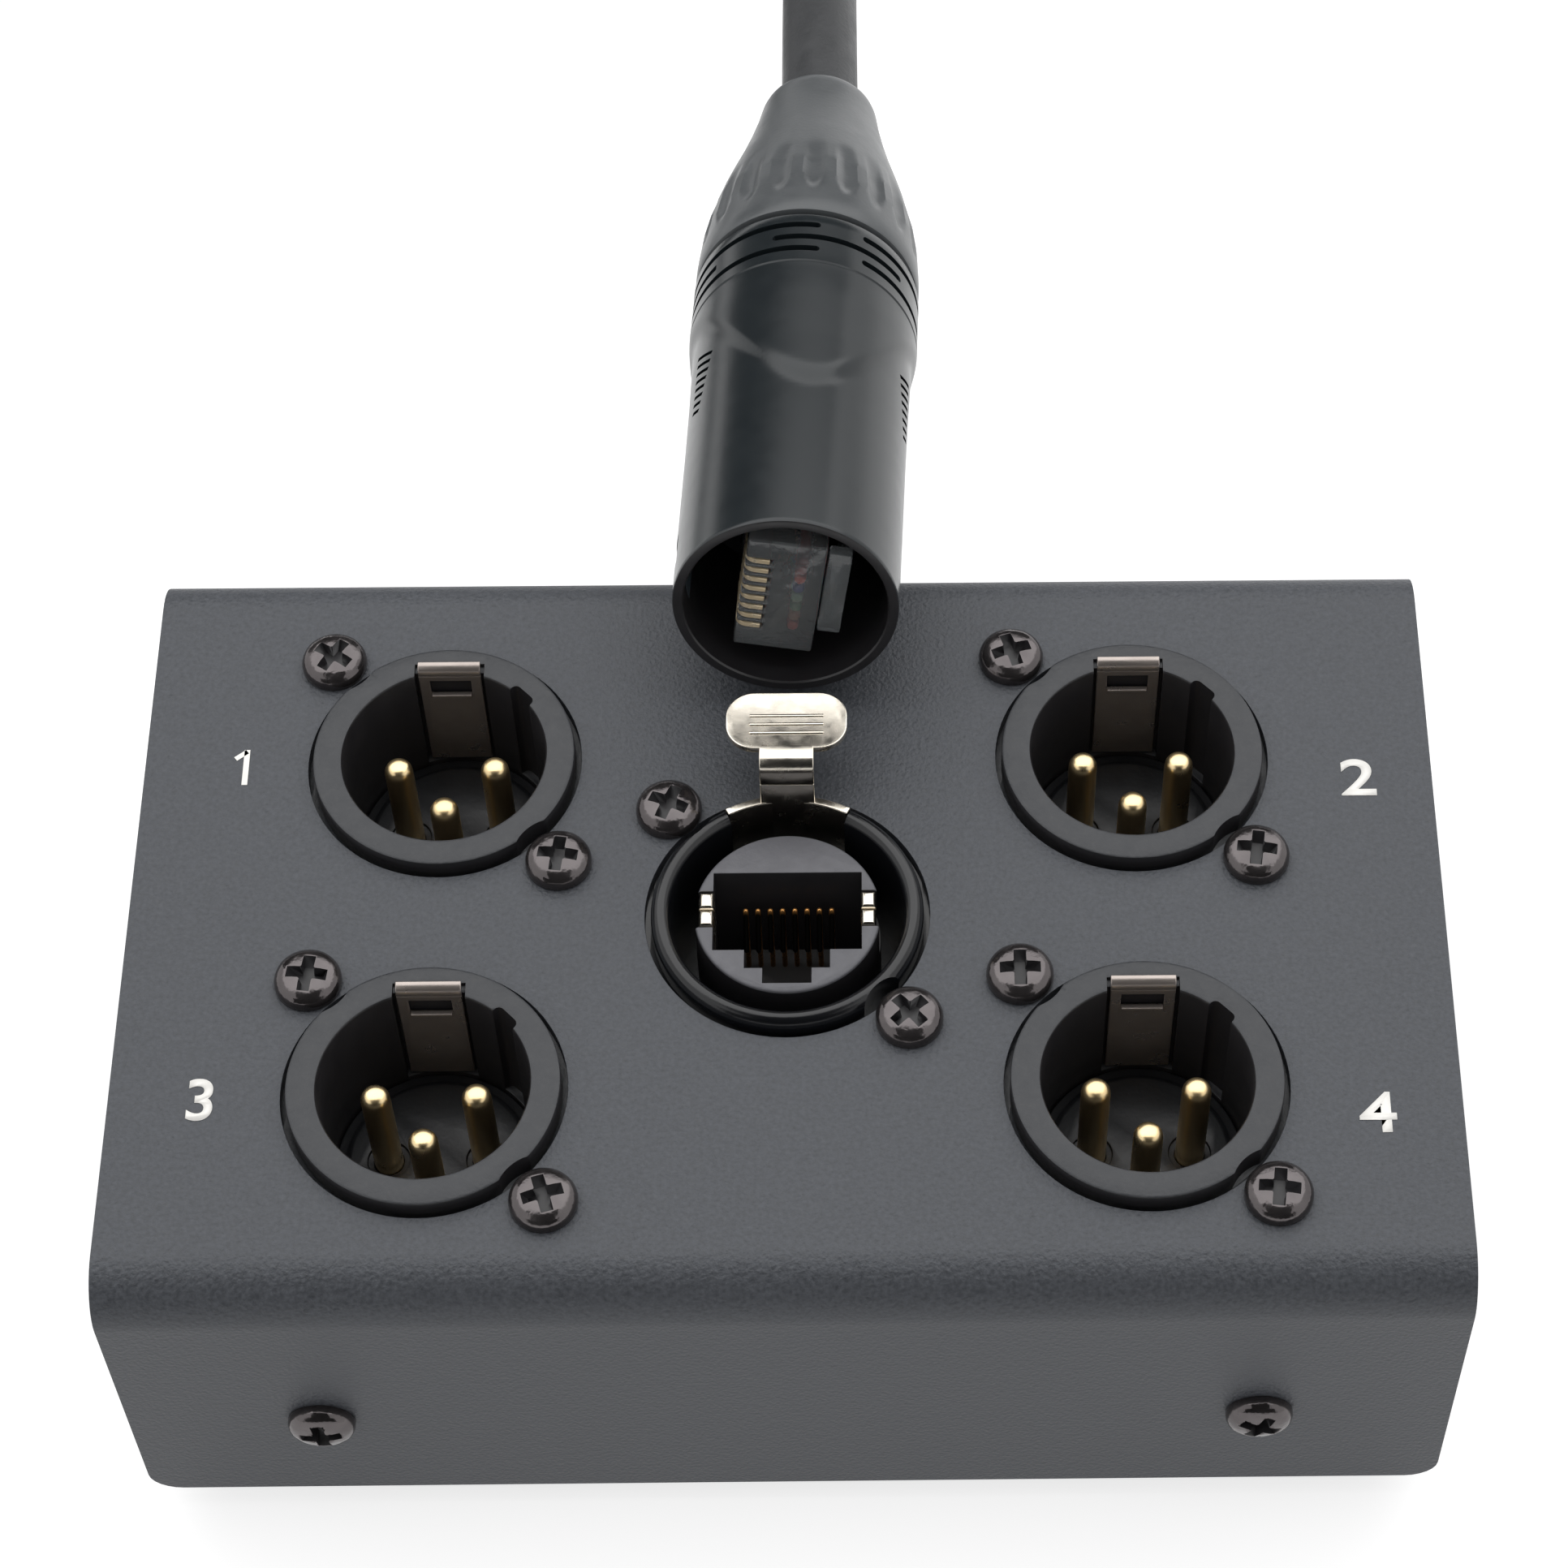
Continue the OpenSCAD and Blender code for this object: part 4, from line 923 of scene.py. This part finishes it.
# The jack's eight wires are bright gold only where they turn over at the top. Further down they are painted
# dark, as painted shade.
wire_gold = new_finish(
    "jack_wire_gold", card(232, 176, 104), card(206, 140, 80), (0.25, 0.35), 1200, 0.004, metal=0.8
)
wire_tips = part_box("data_socket_contacts")[1][1]
wire_tree = wire_gold.node_tree
wire_shader = wire_tree.nodes["Principled BSDF"]
wire_axes = node(wire_tree, "SeparateXYZ")
wire_bright = {"From Min": wire_tips - 0.55 * mm, "From Max": wire_tips - 0.25 * mm}
wire_end = node(wire_tree, "MapRange", wire_bright)
wire_shade = node(wire_tree, "Mix", {"A": card(20, 18, 16)}, data_type="RGBA")
feed(node(wire_tree, "TexCoord"), "Object", wire_axes, 0)
feed(wire_axes, "Y", wire_end, "Value")
feed(wire_end, 0, wire_shade, "Factor")
feed(wire_shader.inputs["Base Color"].links[0].from_node, "Result", wire_shade, "B")
feed(wire_shade, "Result", wire_shader, "Base Color")
carried(wire_gold, "data_socket_contacts")

# Release tab: nickel-plated steel 0.7 mm thick, bent back at its top into a rounded pad for the finger. Its
# curved shoulders run in the rim's slot, and the pawl behind them lets go of the plug when it is pressed.
tab_reach = 10.12
tab_top = 6.8
tab_half = 2.25
tab_sheet = 0.7
bend = 1.2
neck = bar("tab_neck", (-tab_half, tab_reach, -4.5), (tab_half, tab_reach + tab_sheet, 4))
rise = bar("tab_rise", (-tab_half, tab_reach, 4), (tab_half, tab_reach + tab_sheet, tab_top - bend))
bend_axis = (0, (tab_reach + bend) * mm, (tab_top - bend) * mm)
take_up(rise)
choose(rise, "faces", lambda at, face: face.normal.z > 0.9)
for step in range(9):
    bpy.ops.mesh.extrude_region_move(TRANSFORM_OT_translate={"value": (0, 0, 0)})
    bpy.ops.transform.rotate(value=math.radians(10), orient_axis="X", center_override=bend_axis)
bpy.ops.mesh.extrude_region_move(TRANSFORM_OT_translate={"value": (0, 0.9 * mm, 0)})
put_down()
pad = bar("tab_pad", (-5, 11.92, tab_top - tab_sheet), (5, 17.52, tab_top))
round_edges(pad, 2.35, 12, lambda at, edge: abs(at.z - tab_top + tab_sheet / 2) < 0.05)
take_up(pad)
choose(pad, "faces", lambda at, face: face.normal.z > 0.9)
bpy.ops.mesh.inset(thickness=0.42 * mm)
bpy.ops.transform.translate(value=(0, 0, -0.1 * mm))
put_down()
rib_low, rib_high = tab_top - 0.2, tab_top + 0.01
ribs = [bar("pad_rib", (-3.1, y, rib_low), (3.1, y + 0.3, rib_high)) for y in (13.35, 14.2, 15.05)]
shoulders = arc_piece("tab_shoulders", 10.2, 10.9, -4.5, 1.4, 90 - 28.5, 90 + 28.5)
tab = join(neck, rise, pad, shoulders, *ribs, name="release_tab_plate")
soften(tab, 0.12, segments=3, angle=40)
in_place(tab, at_data)
fitted(tab, "release_tab", "nickel", nickel, "release_tab")
carried(nickel, "latch_pawl")

# Circuit board: it is soldered to the data socket's contacts under the panel, and has a white header at
# each corner for an audio socket's three wires. None of it can be seen from outside.
board_green = new_finish("board", card(24, 74, 46), card(34, 92, 58), (0.3, 0.42), 900, 0.03, patches=350)
header_plastic = new_finish(
    "header_plastic", card(232, 226, 208), card(218, 212, 196), (0.4, 0.5), 1200, 0.02
)
wire_insulation = new_finish("wire_insulation", card(150, 34, 30), card(120, 26, 24), (0.4, 0.5), 900, 0.02)
carried(board_green, "circuit_board")
carried(header_plastic, "wire_headers")
carried(wire_insulation, *["socket_%d_wires" % number for number in range(1, 5)])

# Plug: a die-cast sleeve, coated dark grey. Behind a smooth mouth it has a slightly raised grip that leaves
# an arched finger pad on each side, and three rows of grip slots run round its back end.
plug_grey = new_finish(
    "plug_casting", card(26, 31, 34), card(30, 36, 39), (0.23, 0.27), 2600, 0.002, patches=500, gloss=0.44
)


def rings_along(curve, stations):
    """Rings (radius, height) at each station, between the points (height, radius) of a curve."""
    rings = []
    for at in stations:
        for (start, low), (end, high) in zip(curve, curve[1:]):
            if start <= at <= end:
                rings.append((low + (high - low) * (at - start) / (end - start), at))
                break
    return rings


def reshape(piece, rule):
    """Moves a round piece's verts in or out: the rule gives a radius for angle, radius and height."""
    take_up(piece)
    shape = bmesh.from_edit_mesh(piece.data)
    for vert in shape.verts:
        x, y, at = vert.co / mm
        radius = math.hypot(x, y)
        share = rule(math.atan2(x, -y), radius, at) / radius
        vert.co.x *= share
        vert.co.y *= share
    bmesh.update_edit_mesh(piece.data)
    put_down()


plug_roll = 8
sleeve_curve = [(0, 9.4), (18, 9.45), (24, 9.5), (30, 9.6), (40.6, 9.7)]


def gripped(around, radius, at):
    """The sleeve's radius, with its grip raised behind the arched pads."""
    if radius <= 9.3 or not 1 < at < 40.4:
        return radius
    side = abs(math.sin(around - math.radians(plug_roll)))
    edge = 18.6 + 13.6 * side**1.8
    return radius + (0.45 - 0.1 * step_up(at, 30, 40)) * step_up(at, edge - 1.1, edge + 1.2)


sleeve = turned(
    "plug_sleeve",
    [(8.5, 36), (8.5, 0.15), (8.62, 0), (9.2, 0), (9.34, 0.06), (9.4, 0.2)]
    + rings_along(sleeve_curve, [0.5, 2, 5, 8, 11, 14, 16] + [17 + 0.5 * n for n in range(33)])
    + [(9.64, 33.4), (9.55, 33.55), (9.55, 33.65), (9.65, 33.8)]
    + rings_along(sleeve_curve, [34.5, 35, 36, 37, 38, 39, 40.1])
    + [(9.6, 40.3), (8.5, 40.3)],
    sides=160,
    open_middle=True,
)
reshape(sleeve, gripped)


def grip_slot(at, start, stop):
    """A cutter for a slot round the sleeve, between angles from the top line, with round ends."""
    half = 0.36
    ends = (start - 90, stop - 90)
    cutter = arc_piece("grip_slot", 9.15, 11, at - half, at + half, *ends, steps=36)

    def at_an_end(spot, edge):
        way = math.degrees(math.atan2(spot.y, spot.x))
        across = abs(math.hypot(spot.x, spot.y) - 10.07) < 0.12
        return abs(abs(spot.z - at) - half) < 0.01 and across and any(abs(way - end) < 0.1 for end in ends)

    round_edges(cutter, 0.33, 4, at_an_end)
    return cutter


slot_rows = [(35.4, -95, 8.5), (38.75, -95, 8.5), (37.05, -15.5, 58)]
slot_turns = [(at, start + turn, stop + turn) for turn in (0, 126, 252) for at, start, stop in slot_rows]
cut_out(sleeve, join(*[grip_slot(*row) for row in slot_turns]))
pad_cuts = []
for side in (-1, 1):
    for n in range(8):
        half = 1.5 - 0.1 * n
        cut = bar("pad_cut", (-half, -0.19, -0.6), (half, 0.19, 0.6))
        spot = math.radians(side * (67 + 0.8 * n) + plug_roll - 90)
        across = shift(9.3 * math.cos(spot), 9.3 * math.sin(spot), 26.6 - 0.95 * n)
        facing = Matrix.Rotation(spot, 4, "Z") @ swing("Y", 90)
        pad_cuts.append(in_place(cut, across @ facing @ swing("Z", 90 + side * 30)))
cut_out(sleeve, *pad_cuts, bar("catch_hole", (-12, -2.1, 3.1), (-8, 2.1, 6.5)))
shade(sleeve, 28)
far_place = shift(-99.5, 121.7, 10) @ swing("X", -90)
far_sleeve = copied(sleeve, "far_plug_sleeve", far_place)
in_place(sleeve, plug_place)
fitted(sleeve, "lead", "black_casting", plug_grey, "plug_shell")
fitted(far_sleeve, "lead", "black_casting", plug_grey, "far_plug_shell")
# Painted shade: each plug sleeve's front rim and its inside get the near-black material.
for shell, place in ((sleeve, plug_place), (far_sleeve, far_place)):
    back_home = place.inverted()

    def in_the_mouth(at, way):
        spot = back_home @ (at * mm)
        return spot.z < 0.12 * mm or (spot.xy.length < 8.6 * mm and spot.z < 40 * mm)

    paint_shade_on(shell, painted_shade_black, in_the_mouth)
carried(insert_plastic, "plug_carrier", "far_plug_carrier", "plug_clamp")

# The clear nose that carries the eight blades, its lever and the eight coloured wires behind the blades.
# Each blade's front corner is round, where it meets the jack's gold wire.
clear_plastic = bpy.data.materials.new("clear_plastic")
clear_tree, clear_out = plain_nodes(clear_plastic, "OutputMaterial")
clear_look = {"Roughness": 0.12, "IOR": 1.49, "Transmission Weight": 0.88}
clear_shader = node(clear_tree, "BsdfPrincipled", clear_look)
clear_rates = {"Grains per metre": 700, "Patches per metre": 200}
clear_grain = node(clear_tree, "Group", clear_rates, node_tree=mottle)
clear_tints = {"A": card(226, 230, 232), "B": card(204, 210, 214)}
clear_tint = node(clear_tree, "Mix", clear_tints, data_type="RGBA")
clear_flow = node(clear_tree, "Bump", {"Distance": 0.12 * mm})
feed(clear_grain, "Patch", clear_tint, "Factor")
feed(clear_tint, "Result", clear_shader, "Base Color")
feed(clear_grain, "Grain", clear_flow, "Height")
feed(clear_flow, 0, clear_shader, "Normal")
feed(clear_shader, 0, clear_out, 0)

rolled_plug = plug_place @ swing("Z", plug_roll)
nose_depth = 1.2
contact_pitch = 1.016
ways = [(way - 3.5) * contact_pitch for way in range(8)]
nose_half = 5.85
nose = bar("clear_nose", (-3.8, -nose_half, nose_depth), (2.8, nose_half, nose_depth + 21))
slot_low, slot_high = nose_depth - 1, nose_depth + 5.6
blade_slots = [bar("blade_slot", (-4.8, y - 0.24, slot_low), (-1.6, y + 0.24, slot_high)) for y in ways]
cut_out(nose, join(*blade_slots))
soften(nose, 0.25, angle=60)
in_place(nose, swing("Z", plug_roll))
far_nose = copied(nose, "far_clear_nose", far_place)
in_place(nose, plug_place)
fitted(nose, "lead", "clear_plastic", clear_plastic, "plug_body")
fitted(far_nose, "lead", "clear_plastic", clear_plastic, "far_plug_body")

blades = []
for y in ways:
    blade = bar("blade", (-3.85, y - 0.21, nose_depth - 0.02), (-1.8, y + 0.21, nose_depth + 5.2))
    round_edges(blade, 0.9, 6, lambda at, edge: at.x < -3.8 and at.z < nose_depth + 0.1)
    blades.append(blade)
blades = join(*blades, name="gold_blades")
soften(blades, 0.04, segments=1, angle=40)
in_place(blades, rolled_plug)
blade_gold = new_finish(
    "blade_gold", card(240, 226, 200), card(222, 196, 150), (0.25, 0.35), 1200, 0.01, metal=0.5, patches=900
)
fitted(blades, "lead", "gold_plate", blade_gold, "plug_blades")

wire_colours = {
    "dark_red": (120, 24, 22),
    "red": (160, 40, 34),
    "orange": (226, 78, 44),
    "blue": (52, 60, 140),
    "pale_green": (150, 178, 150),
    "green": (40, 104, 58),
    "tan": (176, 120, 92),
    "brick": (188, 62, 46),
}
wire_rings = [(0.3, nose_depth + 0.9), (0.44, nose_depth + 1), (0.47, nose_depth + 1.2)]
wire_rings += [(0.47, nose_depth + 19.9)]
conductors = []
for y, (word, tone) in zip(ways, wire_colours.items()):
    darker = card(*[part * 0.85 for part in tone])
    skin = new_finish("wire_" + word, card(*tone), darker, (0.35, 0.45), 900, 0.01)
    wire = shade(turned("wire", wire_rings, sides=16), 50)
    in_place(wire, shift(0.9, y, 0))
    wire.data.materials.append(skin)
    conductors.append(wire)
conductors = join(*conductors, name="coloured_wires")
in_place(conductors, rolled_plug)
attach(conductors, "lead")
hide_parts("plug_conductors")

lever = bar("plug_lever", (2.95, -5.1, nose_depth + 0.3), (4.9, 3.6, nose_depth + 1.5))
lever_arm = bar("lever_arm", (3.4, -3.1, nose_depth + 1.4), (4.2, 3.1, nose_depth + 1.6))
take_up(lever_arm)
choose(lever_arm, "faces", lambda at, face: face.normal.z > 0.9)
bpy.ops.mesh.extrude_region_move(TRANSFORM_OT_translate={"value": (0.2 * mm, 0, 1.6 * mm)})
bpy.ops.mesh.extrude_region_move(TRANSFORM_OT_translate={"value": (0.8 * mm, 0, 5.2 * mm)})
put_down()
lever = join(lever, lever_arm)
soften(lever, 0.2, angle=30)
in_place(lever, rolled_plug)
fitted(lever, "plug_latch", "clear_plastic", clear_plastic, "plug_latch")

# Bushing: dark plastic, screwed to the back of the sleeve over the clamp. Twenty shallow flutes give a
# grip, and it narrows to a smooth collar that keeps the cable from kinking.
bushing_plastic = new_finish(
    "bushing_plastic", card(71, 74, 76), card(82, 85, 87), (0.3, 0.38), 2600, 0.012, patches=500, dusty=0.02
)
flutes = 20
bushing_curve = [(44, 9.95), (47, 9.75), (50, 9.35), (53, 8.7), (56, 7.95), (59, 7.15)]
bushing_curve += [(62, 6.45), (65, 5.85), (67, 5.55)]
bushing = turned(
    "plug_bushing",
    [(9.6, 41.0), (9.9, 41.15), (10, 41.4), (10, 43)]
    + rings_along(bushing_curve, [44 + 0.5 * n for n in range(21)])
    + rings_along(bushing_curve, [55, 56, 57.5, 59, 60.5, 62, 63.5, 65, 66, 67])
    + [(5.45, 67.6), (5.3, 68.1), (5.05, 68.5), (4.7, 69), (4.3, 69.35), (3.9, 69.55), (3.65, plug_length)]
    + [(3.62, 69), (3.62, 41)],
    sides=240,
    open_middle=True,
)


def fluted(around, radius, at):
    """The bushing's radius, with a shallow scoop for each flute."""
    if radius <= 6 or not 43.6 < at < 54.2:
        return radius
    way = (math.degrees(around) + 6 + 360) % (360 / flutes) - 180 / flutes
    reach = step_up(at, 44, 46) * (1 - step_up(at, 49, 54.1))
    width = 2.6 + 3 * step_up(at, 44, 47)
    return radius - max(0, 1 - (way / width) ** 2) ** 0.8 * 0.36 * reach


reshape(bushing, fluted)
shade(bushing, 30)
far_bushing = copied(bushing, "far_plug_tail", far_place)
in_place(bushing, plug_place)
fitted(bushing, "lead", "bushing_plastic", bushing_plastic, "plug_bushing")
fitted(far_bushing, "lead", "bushing_plastic", bushing_plastic, "far_plug_bushing")
carried(cable_jacket, "plug_cable_end")
